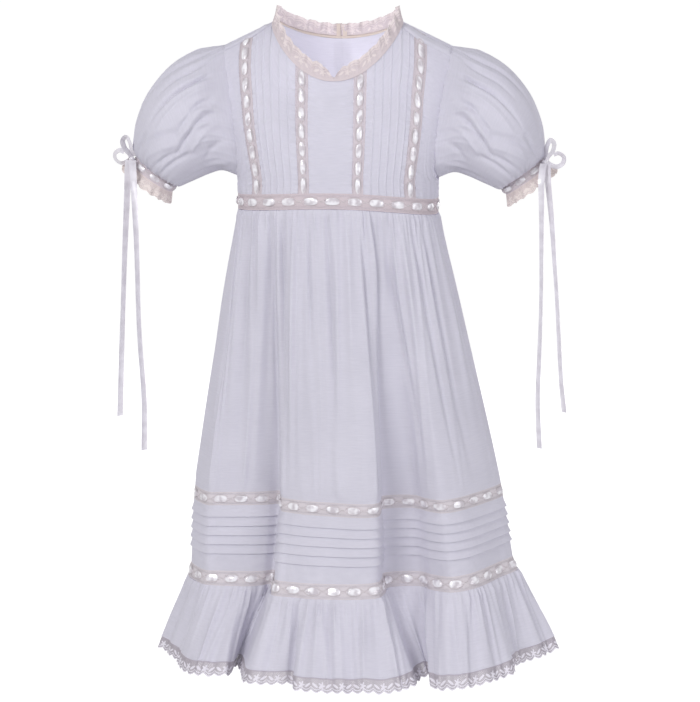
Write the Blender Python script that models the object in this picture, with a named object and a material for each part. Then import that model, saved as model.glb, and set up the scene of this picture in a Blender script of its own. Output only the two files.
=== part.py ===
"""Lace dress for a child of about four, standing filled out as if worn.

Metres, +Z up, the front faces -Y. The origin is the middle of the neck opening, level with the
points where the shoulders meet the neck. Left and right are the picture's, seen from the front.
"""

import bisect
import math

import bmesh
import bpy
from mathutils import Vector

MM = 0.001

# Cloth and trim
CLOTH = 1.2 * MM
TRIM = 1.0 * MM
LAID_ON = 0.4 * MM
SEAM = 0.2 * MM
SEAM_TURN = 0.16
TUCK_RISE = 1.0 * MM
RIBBON = 7.0 * MM

# Torso
WAIST_HALF = 103 * MM
WAIST_FRONT = 75 * MM
WAIST_BACK = 70 * MM
ROUNDNESS = 2.3
WAIST_TOP = -167 * MM
WAIST_BAND = 16 * MM
WAIST_DIP_LEFT = 7 * MM
WAIST_DIP_RIGHT = 11 * MM
SHOULDER_HALF = 136 * MM
SHOULDER_TIP = 120 * MM
SHOULDER_DROP = 26 * MM
SHOULDER_ROLL = 60 * MM
SHOULDER_SEAM = 0.16
SEAM_AT_NECK = 0.05
NECK_HALF = 65 * MM
NECK_FRONT_DROP = 57 * MM
NECK_BACK_DROP = 19.5 * MM

# Torso sections, from the waist up: height, half width, front depth, back depth (mm)
TORSO = (
    (-183, 103, 75, 70),
    (-167, 103, 75, 70),
    (-155, 104, 74, 71),
    (-132, 111, 72, 71),
    (-98, 121, 67, 71),
    (-64, 129, 57, 66),
    (-40, 134, 50, 58),
    (-20, 136, 46, 48),
    (0, 137, 44, 44),
    (30, 137, 42, 42),
)

# Edge of the bodice: its way up from waist (-3) to shoulder ridge (0), and the turn from the middle
# (degrees). The side seam runs to the armpit and the armhole goes on to the shoulder.
SIDE_EDGE = (
    (-3.0, 90),
    (-2.6, 90),
    (-2.5, 78),
    (-2.3, 68),
    (-1.9, 61),
    (-1.4, 57.5),
    (-1.0, 56),
    (-0.5, 56),
    (0.0, 58),
    (0.2, 58),
)
ARMPIT = -2.6

# Upright seams of the front, from left to right: half of the beading's width and its middle, at the
# waist and at the top (mm)
OUTER_LEFT = (-78, 5.5, -91, 6.5)
INNER_LEFT = (-29, 5.5, -33, 6.5)
INNER_RIGHT = (25.5, 5.5, 27, 6.5)
OUTER_RIGHT = (77, 5.5, 83, 6.5)
UPRIGHT_RIBBON = 0.42
PANEL_ROWS = (0.0, 0.14, 0.3, 0.48, 0.66, 0.82, 0.93, 1.0)
BACK_TURNS = (0.16, 7, 13, 17.5, 21, 23.6, 25.4, 31, 37, 43, 48, 53, 57.84)
BACK_ROWS = (0.0, 0.14, 0.3, 0.48, 0.66, 0.8, 0.88, 0.93, 0.965, 1.0)
FRONT_TUCKS = 5

# Skirt seams, as heights at the middle of the front (mm)
SKIRT_TOP = -183.4
UPPER_BAND = -486
LOWER_BAND = -568
BAND_HEIGHT = 14.5
HEM = -650
LACE_BOTTOM = -663
SKIRT_LEVELS = (SKIRT_TOP, UPPER_BAND, LOWER_BAND, HEM)
SKIRT_TUCKS = 5
GATHER_SLOPE = 0.3
TUCK_STEP = 9.5
FIRST_TUCK = 11.5

# How far the seams stand above those heights at the left side, the middle and the right side (mm)
SEAM_LIFT_LEFT = (-7, 1, -1, -2)
SEAM_LIFT_MIDDLE = (0, 3, 2, -2)
SEAM_LIFT_RIGHT = (-11, 9, 13, 7)

# Crease lines of the skirt, once round from the left side over the front: how many columns of cloth
# to the next one, then x and y on the upper beading, on the lower beading and on the hem (mm)
CREASES = (
    ("left side", 2, -152, 0, -157, 0, -187, 0),
    ("left front", 3, -136, -32, -140, -34, -168, -34),
    ("left swell", 2, -120, -36, -124, -40, -148, -80),
    ("left flat", 2, -100, -36, -102, -42, -124, -88),
    ("left edge", 1, -84, -35, -88, -43, -102, -83),
    ("under the left edge", 2, -72, -33, -76, -42, -103, -62),
    ("behind the big pleat", 1, -58, -31, -63, -39, -93, -65),
    ("edge of the big pleat", 2, -55, -55, -60, -72, -86, -105),
    ("top of the big pleat", 2, -44, -65, -47, -81, -61, -113),
    ("middle left", 1, -31, -71, -33, -85, -38, -110),
    ("ruffle step", 3, -22, -74, -24, -87, -32, -127),
    ("middle", 3, -2, -78, -2, -88, 5, -133),
    ("middle right", 2, 27, -83, 28, -87, 34, -131),
    ("right edge", 2, 45, -80, 46, -80, 62, -129),
    ("right edge folded back", 1, 49, -63, 50, -61, 82, -106),
    ("behind the right edge", 1, 49, -48, 51, -44, 87, -84),
    ("hollow", 1, 64, -42, 67, -39, 95, -75),
    ("behind the small pleat", 2, 81, -44, 87, -41, 104, -80),
    ("edge of the small pleat", 2, 95, -59, 101, -55, 108, -115),
    ("top of the small pleat", 2, 110, -69, 121, -68, 127, -120),
    ("small pleat falling", 3, 125, -62, 138, -62, 150, -108),
    ("right swell", 2, 140, -47, 152, -48, 180, -78),
    ("right front", 2, 157, -26, 169, -24, 188, -46),
    ("right side swell", 2, 166, -13, 179, -12, 209, -27),
    ("right side", 2, 170, 0, 183, 0, 224, 0),
    ("back fold 1", 3, 160, 22, 171, 25, 207, 36),
    ("back fold 2", 2, 141, 45, 152, 53, 182, 82),
    ("back fold 3", 3, 118, 46, 128, 51, 150, 68),
    ("back fold 4", 2, 92, 61, 100, 71, 122, 110),
    ("back fold 5", 3, 66, 55, 70, 62, 88, 86),
    ("back fold 6", 2, 38, 69, 41, 81, 52, 124),
    ("back fold 7", 3, 10, 62, 11, 70, 16, 96),
    ("back fold 8", 2, -18, 71, -19, 83, -22, 127),
    ("back fold 9", 3, -46, 59, -47, 66, -58, 92),
    ("back fold 10", 2, -74, 65, -76, 75, -90, 114),
    ("back fold 11", 3, -98, 50, -100, 55, -120, 74),
    ("back fold 12", 2, -122, 48, -126, 54, -150, 84),
    ("back fold 13", 2, -142, 25, -147, 27, -174, 38),
)

# Left sleeve, ring by ring from the armhole to the cuff: top x, z, underside x, z, half depth (mm)
SLEEVE = (
    (-141.7, -29.7, -119, -152, 55),
    (-170.7, -45.1, -132.7, -155.6, 60),
    (-193.8, -70.7, -145.3, -160.9, 60),
    (-206.8, -99.5, -155.7, -165.1, 54),
    (-210.3, -122.1, -163, -167.7, 42),
    (-208.1, -137.6, -166.7, -167.6, 25),
)
SLEEVE_ROWS = (0, 0.4, 1, 2, 3, 4, 5, 5.55, 6)
SLEEVE_COLUMNS = 28
SLEEVE_CLEAR = 1.0 * MM
CUFF_BAND = 9 * MM
CUFF_LACE = 11.5 * MM
CUFF_FLARE = 5.5 * MM

# Neck trim
NECK_BINDING = 3 * MM
NECK_LACE = 12 * MM
NECK_LEAN = 0.38
NECK_SIDE_COLUMNS = 9
NECK_FRONT_COLUMNS = 20

# Bows: the left one's ribbon path and tails, x, y, z, and for tails the turn of the ribbon (mm, degrees)
BOW_LOOPS = (
    (-208.9, -9.5, -137.8),
    (-211.5, -14, -131.4),
    (-212.7, -17, -123.9),
    (-216.1, -18, -117.4),
    (-220.1, -17, -121.4),
    (-218.7, -13.5, -129.4),
    (-214.3, -10, -135.2),
    (-212.9, -9.5, -139.4),
    (-216.1, -9, -142.8),
    (-222.5, -9, -145.2),
    (-228.5, -9, -142.4),
    (-230.1, -9, -136.0),
    (-225.1, -9, -131.8),
    (-219.9, -9, -133.3),
)
BOW_RIBBON = 6 * MM
KNOT = (-211.1, -15.8, -140.8)
KNOT_RADIUS = 3.2 * MM
LEFT_OUTER_TAIL = (
    (-213.6, -19.9, -141, 10),
    (-213.4, -27, -150, 20),
    (-213.2, -31.5, -160, 30),
    (-214.6, -32, -185, 40),
    (-217.4, -32, -232, 52),
    (-220.2, -32, -288, 58),
    (-222.5, -32, -337, 52),
    (-225.4, -32, -406, 45),
)
LEFT_INNER_TAIL = (
    (-209.6, -21.2, -141, 10),
    (-207.6, -31, -150, 20),
    (-206.4, -36, -161, 30),
    (-205.4, -36.5, -190, 45),
    (-204.4, -36.5, -231, 55),
    (-203.2, -36.5, -314, 60),
    (-199.2, -36.5, -388, 52),
    (-199.8, -36.5, -441, 45),
)
RIGHT_OUTER_TAIL = (
    (213.6, -19.9, -141, -10),
    (213.8, -27, -150, -20),
    (214.6, -31.5, -160, -32),
    (218.8, -32, -197, -45),
    (222.2, -32, -238, -55),
    (225.6, -32, -280, -58),
    (231.0, -32, -362, -52),
    (234.6, -32, -395, -45),
)
RIGHT_INNER_TAIL = (
    (209.6, -21.2, -141, -10),
    (208.2, -31, -150, -20),
    (207.8, -36, -161, -30),
    (208.6, -36.5, -197, -48),
    (209.4, -36.5, -278, -60),
    (208.4, -36.5, -336, -55),
    (207.4, -36.5, -382, -50),
    (209.8, -36.5, -432, -45),
)
TAIL_POINTS = 15

# Back closing
STRIP_HALF = 7 * MM
BUTTON_RADIUS = 5 * MM
BUTTON_THICK = 2.4 * MM
BUTTON_HEIGHTS = (-40, -90, -140)


def smooth(stations, values, at):
    """Return the smooth curve through values at rising stations, straight on past both ends."""
    last = len(stations) - 1
    if at <= stations[0]:
        slope = (values[1] - values[0]) / (stations[1] - stations[0])
        return values[0] + slope * (at - stations[0])
    if at >= stations[last]:
        slope = (values[last] - values[last - 1]) / (stations[last] - stations[last - 1])
        return values[last] + slope * (at - stations[last])
    low = bisect.bisect_right(stations, at) - 1

    def slope_at(k):
        before = max(k - 1, 0)
        after = min(k + 1, last)
        return (values[after] - values[before]) / (stations[after] - stations[before])

    step = stations[low + 1] - stations[low]
    part = (at - stations[low]) / step
    back = 1 - part
    return (
        values[low] * (1 + 2 * part) * back * back
        + slope_at(low) * step * part * back * back
        + values[low + 1] * part * part * (3 - 2 * part)
        - slope_at(low + 1) * step * part * part * back
    )


def straight(stations, values, at):
    """Return the value at a station on the broken line through the values."""
    if at <= stations[0]:
        return values[0]
    for k in range(len(stations) - 1):
        if at <= stations[k + 1]:
            part = (at - stations[k]) / (stations[k + 1] - stations[k])
            return values[k] + part * (values[k + 1] - values[k])
    return values[-1]


def column(table, index):
    """Return one column of a table as a list."""
    return [row[index] for row in table]


def spread(first, last, steps):
    """Return evenly spaced numbers from first to last."""
    return [first + (last - first) * k / steps for k in range(steps + 1)]


def level(numbers):
    """Pair each number with no raising."""
    return [(number, 0.0) for number in numbers]


# Building cloth solids
def finish(name, colour, roughness):
    """Return a new plain material for one piece."""
    material = bpy.data.materials.new(name)
    material.use_nodes = True
    shader = material.node_tree.nodes["Principled BSDF"]
    shader.inputs["Base Color"].default_value = (*colour, 1)
    shader.inputs["Roughness"].default_value = roughness
    shader.inputs["Metallic"].default_value = 0.0
    return material


COTTON = ((0.80, 0.79, 0.86), 0.85)
LACE = ((0.70, 0.66, 0.68), 0.9)
SATIN = ((0.90, 0.90, 0.92), 0.35)
PEARL = ((0.85, 0.83, 0.80), 0.3)


def add_object(name, bm, look):
    """Turn a finished bmesh into a named object with its own material."""
    bmesh.ops.recalc_face_normals(bm, faces=bm.faces)
    mesh = bpy.data.meshes.new(name)
    bm.to_mesh(mesh)
    bm.free()
    mesh.shade_smooth()
    mesh.set_sharp_from_angle(angle=math.radians(40))
    mesh.materials.append(finish(name, *look))
    piece = bpy.data.objects.new(name, mesh)
    bpy.context.scene.collection.objects.link(piece)
    return piece


def loft(name, sections, outer_faces, closed, look):
    """Join a row of closed sections into one solid; both skins get the same diagonals."""
    bm = bmesh.new()
    loops = [[bm.verts.new(point) for point in section] for section in sections]
    size = len(loops[0])
    pairs = list(zip(loops, loops[1:]))
    if closed:
        pairs.append((loops[-1], loops[0]))
    for here, there in pairs:
        for k in range(size):
            nxt = (k + 1) % size
            if k < outer_faces:
                bm.faces.new((here[k], there[k], there[nxt]))
                bm.faces.new((here[k], there[nxt], here[nxt]))
            else:
                bm.faces.new((here[k], there[k], here[nxt]))
                bm.faces.new((there[k], there[nxt], here[nxt]))
    if not closed:
        for loop in (loops[0], loops[-1]):
            close_end(bm, loop, outer_faces)
    return add_object(name, bm, look)


def close_end(bm, loop, outer_faces):
    """Close an open end: across its wall row by row, or with one face where the rows differ."""
    outer = loop[:outer_faces + 1]
    inner = loop[:outer_faces:-1]
    if len(outer) != len(inner):
        bm.faces.new(loop)
        return
    for k in range(outer_faces):
        bm.faces.new((outer[k], outer[k + 1], inner[k + 1]))
        bm.faces.new((outer[k], inner[k + 1], inner[k]))


def normal_of(surface, u, v, u_step, v_step):
    """Return a surface's unit normal, from its slopes along rising u and rising v."""
    du = surface(u + u_step, v) - surface(u - u_step, v)
    dv = surface(u, v + v_step) - surface(u, v - v_step)
    return du.cross(dv).normalized()


def cloth(name, surface, across, along, look, base=0.0, wall=CLOTH, outward=1, closed=False,
          ripple=None, inner=None, normal=None):
    """Make one sewn piece as a wall on a surface.

    across and along list (parameter, raised) pairs; raised lifts the outer face only.
    """
    across_step = abs(across[-1][0] - across[0][0]) * 1e-3
    along_step = abs(along[-1][0] - along[0][0]) * 1e-3
    inner = inner or column(along, 0)

    def place(u, v, offset):
        if normal:
            out = normal(u, v)
        else:
            out = normal_of(surface, u, v, across_step, along_step) * outward
        wave = ripple(u, v) if ripple else 0.0
        return surface(u, v) + out * (offset + wave)

    sections = []
    for u, raised_across in across:
        section = [place(u, v, base + raised_across + raised) for v, raised in along]
        section += [place(u, v, base - wall) for v in reversed(inner)]
        sections.append(section)
    return loft(name, sections, len(along) - 1, closed, look)


def ribbon(name, route, widths, width, look, wall=TRIM):
    """Make a flat ribbon along a route; widths holds the direction across it at each point."""
    sections = []
    for k, here in enumerate(route):
        along = route[min(k + 1, len(route) - 1)] - route[max(k - 1, 0)]
        across = widths[k] - along * (widths[k].dot(along) / along.length_squared)
        across = across.normalized() * width / 2
        thick = along.cross(across).normalized() * wall / 2
        sections.append([
            here - across + thick,
            here + across + thick,
            here + across - thick,
            here - across - thick,
        ])
    return loft(name, sections, 1, False, look)


# Torso
TORSO_Z = [z * MM for z in column(TORSO, 0)]
TORSO_HALF = [x * MM for x in column(TORSO, 1)]
TORSO_FRONT = [y * MM for y in column(TORSO, 2)]
TORSO_BACK = [y * MM for y in column(TORSO, 3)]


def width_part(turn):
    """Return how far out a turn from the middle stands, as a part of the half width."""
    return math.sin(math.radians(min(abs(turn), 180 - abs(turn)))) ** (2 / ROUNDNESS)


def depth_part(turn):
    """Return how far forward a turn from the middle stands, as a part of the depth."""
    return math.copysign(abs(math.cos(math.radians(turn))) ** (2 / ROUNDNESS), math.cos(math.radians(turn)))


def turn_at(x, half):
    """Return the turn in degrees that stands at x on a section of that half width (mm)."""
    part = (abs(x) / half) ** (ROUNDNESS / 2)
    return math.copysign(math.degrees(math.asin(part)), x)


def waist_height(x):
    """Return the height of the waist seam's top at x: it dips towards both sides."""
    dip = WAIST_DIP_LEFT if x < 0 else WAIST_DIP_RIGHT
    return WAIST_TOP - dip * (x / WAIST_HALF) ** 2


def ridge_height(turn):
    """Return the height of the shoulder ridge at a turn from the middle."""
    out = SHOULDER_HALF * width_part(turn)
    return -SHOULDER_DROP * (out - NECK_HALF) / (SHOULDER_TIP - NECK_HALF)


def torso(turn, way, side):
    """Return the point of the torso at a turn from the middle and a way up.

    The way is -3 at the waist and -1 where the shoulder starts to roll over, 0 on its ridge and
    more beyond it. The side is -1 at the front and 1 at the back.
    """
    ridge = ridge_height(turn)
    start = ridge - SHOULDER_ROLL
    waist = waist_height(math.copysign(WAIST_HALF * width_part(turn), turn))
    if way <= -1:
        z = start + (way + 1) / 2 * (start - waist)
        roll = 1.0
    else:
        angle = -way * math.pi / 2
        z = ridge - SHOULDER_ROLL * (1 - math.cos(angle))
        roll = math.sin(angle)
    half = smooth(TORSO_Z, TORSO_HALF, z)
    depth = smooth(TORSO_Z, TORSO_FRONT if side < 0 else TORSO_BACK, z)
    x = math.copysign(half * width_part(turn), turn)
    return Vector((x, side * depth * depth_part(turn) * roll, z))


def torso_normal(turn, way, side):
    """Return the torso's normal, pointing out."""
    around = Vector(torso(turn + 0.05, way, side)) - torso(turn - 0.05, way, side)
    upward = Vector(torso(turn, way + 0.005, side)) - torso(turn, way - 0.005, side)
    return around.cross(upward).normalized() * -side


def top_way(turn, side):
    """Return the way up at which the bodice ends: neckline or shoulder seam."""
    out = SHOULDER_HALF * width_part(turn)
    if out >= NECK_HALF - 0.1 * MM:
        return side * straight((NECK_HALF, NECK_HALF + 20 * MM), (SEAM_AT_NECK, SHOULDER_SEAM), out)
    if side < 0:
        drop = NECK_FRONT_DROP * (1 - (out / (NECK_HALF + MM)) ** 2.1) ** 0.8
    else:
        drop = NECK_BACK_DROP * (1 - (out / NECK_HALF) ** 2) ** 0.7
    below = ridge_height(turn) + drop
    if below < SHOULDER_ROLL:
        return -math.acos(1 - below / SHOULDER_ROLL) / (math.pi / 2)
    start = ridge_height(turn) - SHOULDER_ROLL
    waist = waist_height(math.copysign(WAIST_HALF * width_part(turn), turn))
    return -1 - 2 * (start + drop) / (start - waist)


def side_edge(way):
    """Return the turn of the side seam and armhole at a way up."""
    return straight(column(SIDE_EDGE, 0), column(SIDE_EDGE, 1), way)


WAY_START = -3 + 2 * SEAM / 0.09
SEAM_WAY = 0.007


def bodice_panel(side, left, right):
    """Return where a bodice panel lies between two upright lines, as turn, way and side."""

    def line(edge, part):
        if edge in ("left side", "right side"):
            turn = side_edge(WAY_START + part * (-0.16 - WAY_START)) - SEAM_TURN
            return -turn if edge == "left side" else turn
        return edge[0] + part * (edge[1] - edge[0])

    def spot(s, t):
        low = line(left, t)
        high = line(right, t)
        turn = low + s * (high - low)
        turn_top = line(left, 1) + s * (line(right, 1) - line(left, 1))
        end = top_way(turn_top, side) - SEAM_WAY
        return turn, WAY_START + t * (end - WAY_START), side

    return spot


def torso_cloth(name, spot, across, along, look, **options):
    """Make a sewn piece that lies on the torso; spot gives turn, way and side for both parameters."""
    cloth(name, lambda s, t: torso(*spot(s, t)), across, along, look,
          normal=lambda s, t: torso_normal(*spot(s, t)), **options)


def beading_edges(line):
    """Return the left and the right edge of an upright beading as turns at waist and top."""
    low, half_low, high, half_high = line
    waist = WAIST_HALF / MM
    top = SHOULDER_HALF / MM
    left = (turn_at(low - half_low, waist), turn_at(high - half_high, top))
    right = (turn_at(low + half_low, waist), turn_at(high + half_high, top))
    return left, right


def shifted(edge, turn):
    """Return an upright edge moved sideways by a small turn."""
    return edge[0] + turn, edge[1] + turn


def tucked_columns():
    """Return the columns of a panel with upright tucks: a slow rise, then a sharp step back."""
    columns = [(0.0, 0.0)]
    for k in range(FRONT_TUCKS):
        crest = (k + 0.85) / (FRONT_TUCKS + 0.6)
        columns.append((crest, TUCK_RISE))
        columns.append((crest + 0.035, 0.0))
    columns.append((1.0, 0.0))
    return columns


def make_bodice():
    """Make the front panels, their beadings and ribbons, and the two backs."""
    outer_left = beading_edges(OUTER_LEFT)
    inner_left = beading_edges(INNER_LEFT)
    inner_right = beading_edges(INNER_RIGHT)
    outer_right = beading_edges(OUTER_RIGHT)
    rows = level(PANEL_ROWS)
    plain = level(spread(0, 1, 5))
    tucked = tucked_columns()
    mirrored = [(1 - s, raised) for s, raised in reversed(tucked)]
    panels = (
        ("side_front_left", "left side", outer_left[0], plain),
        ("tucked_panel_left", outer_left[1], inner_left[0], mirrored),
        ("centre_front", inner_left[1], inner_right[0], plain),
        ("tucked_panel_right", inner_right[1], outer_right[0], tucked),
        ("side_front_right", outer_right[1], "right side", plain),
    )
    for name, left, right, columns in panels:
        left = left if left == "left side" else shifted(left, SEAM_TURN)
        right = right if right == "right side" else shifted(right, -SEAM_TURN)
        torso_cloth(name, bodice_panel(-1, left, right), columns, rows, COTTON)

    beadings = (
        ("outer_left", outer_left),
        ("inner_left", inner_left),
        ("inner_right", inner_right),
        ("outer_right", outer_right),
    )
    edge = (1 - UPRIGHT_RIBBON) / 2
    for name, (left, right) in beadings:
        spot = bodice_panel(-1, left, right)
        torso_cloth("beading_" + name, spot, level((0, 1)), rows, LACE, wall=TRIM)
        ribbon_rows = level([0.004 + 0.992 * t for t in PANEL_ROWS])
        torso_cloth("ribbon_" + name, spot, level((edge, 1 - edge)), ribbon_rows, SATIN,
                    base=LAID_ON + TRIM, wall=TRIM)

    middle = SEAM_TURN
    for name, hand in (("back_left", -1), ("back_right", 1)):
        def spot(s, t, hand=hand):
            low_edge = middle
            turn_top = low_edge + s * (side_edge(SHOULDER_SEAM) - SEAM_TURN - low_edge)
            end = top_way(turn_top, 1) - SEAM_WAY
            way = WAY_START + t * (end - WAY_START)
            edge_turn = side_edge(way) - SEAM_TURN
            turn = low_edge + s * (edge_turn - low_edge)
            return hand * turn, way, 1

        span = side_edge(SHOULDER_SEAM) - SEAM_TURN - middle
        columns = [(turn - middle) / span for turn in BACK_TURNS]
        torso_cloth(name, spot, level(columns), level(BACK_ROWS), COTTON)


def make_back_closing():
    """Make the button strip down the centre back and its buttons."""
    def spot(s, t):
        turn = turn_at(s * STRIP_HALF / MM, WAIST_HALF / MM)
        end = top_way(turn, 1) - SEAM_WAY
        return turn, WAY_START + t * (end - WAY_START), 1

    base = LAID_ON + TRIM
    torso_cloth("button_strip", spot, level((-1, -0.4, 0.4, 1)), level(BACK_ROWS[:-1] + (0.985,)), COTTON,
                base=base, wall=TRIM)
    for number, height in enumerate(BUTTON_HEIGHTS, 1):
        z = height * MM
        depth = smooth(TORSO_Z, TORSO_BACK, z)
        slope = (smooth(TORSO_Z, TORSO_BACK, z + MM) - smooth(TORSO_Z, TORSO_BACK, z - MM)) / (2 * MM)
        tilt = math.atan(slope)
        out = base + LAID_ON + BUTTON_THICK / 2
        bm = bmesh.new()
        bmesh.ops.create_cone(bm, cap_ends=True, segments=12, radius1=BUTTON_RADIUS,
                              radius2=BUTTON_RADIUS * 0.8, depth=BUTTON_THICK)
        button = add_object(f"button_{number}", bm, PEARL)
        button.rotation_euler.x = -math.pi / 2 - tilt
        button.location = (0, depth + out * math.cos(tilt), z - out * math.sin(tilt))


# Neck
def neck_route():
    """Return the neckline once round from the centre back over the left, as turn, way and side."""
    corner = turn_at(NECK_HALF / MM, SHOULDER_HALF / MM)
    near = corner * 0.955
    back = [(-near * k / NECK_SIDE_COLUMNS, 1) for k in range(NECK_SIDE_COLUMNS + 1)]
    back[0] = (-0.3, 1)
    front = [(-near + 2 * near * k / NECK_FRONT_COLUMNS, -1) for k in range(NECK_FRONT_COLUMNS + 1)]
    route = [(turn, top_way(turn, side), side) for turn, side in back]
    route += [(-corner * 0.988, -0.08, 1), (-corner, -0.05, -1), (-corner, -0.2, -1)]
    route += [(turn, top_way(turn, side), side) for turn, side in front]
    route += [(corner, -0.2, -1), (corner, -0.05, -1), (corner * 0.988, -0.08, 1)]
    route += [(-turn, top_way(turn, side), side) for turn, side in reversed(back)]
    return route


def make_neck():
    """Make the binding and the standing lace."""
    points = [torso(*place) for place in neck_route()]
    stations = list(range(len(points)))
    middle = Vector((0, 0, 0))

    def surface(u, rise):
        here = smooth(stations, points, u)
        inward = middle - Vector((here.x, here.y, 0))
        lean = inward.normalized() * NECK_LEAN + Vector((0, 0, 1))
        return here + lean.normalized() * rise

    def frill(u, rise):
        height = max(0.0, (rise - NECK_BINDING) / NECK_LACE)
        return 1.6 * MM * height * math.cos(math.pi * u)

    start = 1.2 * MM
    across = level(stations)
    cloth("neck_binding", surface, across, level((start, start + NECK_BINDING)), LACE, wall=TRIM)
    foot = start + NECK_BINDING + 2 * SEAM
    cloth("neck_lace", surface, across, level((foot, foot + NECK_LACE)), LACE, wall=TRIM, ripple=frill)


# Waist
def waist_surface(side):
    """Return the surface of half the waist band: turn in degrees and height below its top."""
    depth = WAIST_FRONT if side < 0 else WAIST_BACK

    def surface(turn, height):
        x = math.copysign(WAIST_HALF * width_part(turn), turn)
        return Vector((x, side * depth * depth_part(turn), waist_height(x) + height))

    return surface


def make_waist():
    """Make the waist beading and its ribbon, front and back."""
    turns = level(spread(-90 + SEAM_TURN, 90 - SEAM_TURN, 18))
    band = level((-WAIST_BAND + SEAM, -SEAM))
    middle = -WAIST_BAND / 2
    tape = level((middle - RIBBON / 2, middle + RIBBON / 2))
    for name, side in (("front", -1), ("back", 1)):
        surface = waist_surface(side)
        cloth("waist_beading_" + name, surface, turns, band, LACE, wall=TRIM, outward=-side)
        cloth("waist_ribbon_" + name, surface, turns, tape, SATIN, base=LAID_ON + TRIM, wall=TRIM,
              outward=-side)


# Skirt
CREASE_AT = [sum(column(CREASES, 1)[:k]) for k in range(len(CREASES))]
COLUMNS = sum(column(CREASES, 1))
RIGHT_SIDE = CREASE_AT[24]


def waist_spot(row):
    """Return x and y of a crease at the waist: half by its place below, half evenly spaced."""
    number = CREASES.index(row)
    front = number <= 24
    full = abs(CREASES[0][2]) if row[2] < 0 else CREASES[24][2]
    below = turn_at(row[2], full)
    if front:
        even = -90 + 180 * CREASE_AT[number] / RIGHT_SIDE
    else:
        even = 90 - 180 * (CREASE_AT[number] - RIGHT_SIDE) / (COLUMNS - RIGHT_SIDE)
    turn = (below + even) / 2
    x = math.copysign(WAIST_HALF * width_part(turn), turn) / MM
    depth = -WAIST_FRONT if front else WAIST_BACK
    return x, depth * depth_part(turn) / MM


def crease_point(row, height):
    """Return x and y of one crease line at a height."""
    _, _, upper_x, upper_y, lower_x, lower_y, hem_x, hem_y = row
    waist_x, waist_y = waist_spot(row)
    x = smooth(HEIGHTS_UP, (hem_x, lower_x, upper_x, waist_x), height)
    y = smooth(HEIGHTS_UP, (hem_y, lower_y, upper_y, waist_y), height)
    return Vector((x, y, 0))


HEIGHTS_UP = tuple(reversed(SKIRT_LEVELS))


def skirt(place, height):
    """Return the skirt's point at a column round it and a nominal height in mm."""
    place %= COLUMNS
    low = bisect.bisect_right(CREASE_AT, place) - 1
    count = len(CREASES)
    stations = []
    points = []
    for k in range(low - 1, low + 3):
        turns = k // count
        stations.append(CREASE_AT[k % count] + turns * COLUMNS)
        points.append(crease_point(CREASES[k % count], height))
    point = smooth(stations, points, place)
    half = abs(crease_point(CREASES[0] if point.x < 0 else CREASES[24], height).x)
    part = min(1.0, abs(point.x) / half)
    sides = SEAM_LIFT_LEFT if point.x < 0 else SEAM_LIFT_RIGHT
    middle = smooth(HEIGHTS_UP, tuple(reversed(SEAM_LIFT_MIDDLE)), height)
    side = smooth(HEIGHTS_UP, tuple(reversed(sides)), height)
    point.z = height + middle + (side - middle) * part ** 2
    return point * MM


def ruled(top, bottom):
    """Return the skirt's surface made straight between two heights."""
    def surface(place, height):
        part = (height - bottom) / (top - bottom)
        low = skirt(place, bottom)
        return low + (skirt(place, top) - low) * part

    return surface


def gathers(place, height):
    """Return how far the small gathers stand out: under the waist and at the top of the ruffle."""
    spacing = (skirt(place + 0.5, height) - skirt(place - 0.5, height)).length
    below_waist = SKIRT_TOP - height
    below_band = LOWER_BAND - BAND_HEIGHT - height
    if below_band >= 0:
        size = straight((0, 8, 30, 80), (0.5, 1.7, 1.3, 0.9), below_band)
    else:
        size = straight((0, 10, 45, 130), (0.5, 2.0, 1.3, 0.0), below_waist)
    return min(size * MM, GATHER_SLOPE * spacing) * math.cos(math.pi * place)


def skirt_piece(name, rows, look, surface=skirt, base=0.0, wall=CLOTH, ripple=None, inner=None):
    """Make one tier of the skirt as a front and a back that meet at the side seams."""
    halves = (("_front", 0, RIGHT_SIDE), ("_back", RIGHT_SIDE, COLUMNS))
    for ending, first, last in halves:
        places = [first + 0.03] + list(range(first + 1, last)) + [last - 0.03]
        cloth(name + ending, surface, level(places), rows, look, base=base, wall=wall, ripple=ripple,
              inner=inner)


def make_skirt():
    """Make the tiers from the waist to the hem lace."""
    gap = SEAM / MM
    rows = level((SKIRT_TOP - gap, -194, -225, -290, -390, UPPER_BAND + gap))
    skirt_piece("upper_skirt", rows, COTTON, ripple=gathers)

    for name, top in (("upper", UPPER_BAND), ("lower", LOWER_BAND)):
        band = level((top - gap, top - BAND_HEIGHT + gap))
        straight_band = ruled(top, top - BAND_HEIGHT)
        skirt_piece(name + "_beading", band, LACE, surface=straight_band, wall=TRIM)
        middle = top - BAND_HEIGHT / 2
        tape = level((middle + RIBBON / MM / 2, middle - RIBBON / MM / 2))
        skirt_piece(name + "_ribbon", tape, SATIN, surface=straight_band, base=LAID_ON + TRIM, wall=TRIM)

    top = UPPER_BAND - BAND_HEIGHT - gap
    bottom = LOWER_BAND + gap
    rows = [(top, 0.0)]
    for k in range(SKIRT_TUCKS):
        edge = top - FIRST_TUCK - k * TUCK_STEP
        rows.append((edge, TUCK_RISE))
        rows.append((edge - 0.9, 0.0))
    rows.append((bottom, 0.0))
    skirt_piece("tucked_band", rows, COTTON, surface=ruled(top, bottom), inner=spread(top, bottom, 3))

    top = LOWER_BAND - BAND_HEIGHT - gap
    rows = level((top, -600, -624, HEM + gap))
    skirt_piece("ruffle", rows, COTTON, ripple=gathers)
    skirt_piece("hem_lace", level((HEM - gap, LACE_BOTTOM)), LACE, wall=TRIM, ripple=gathers)


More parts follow.
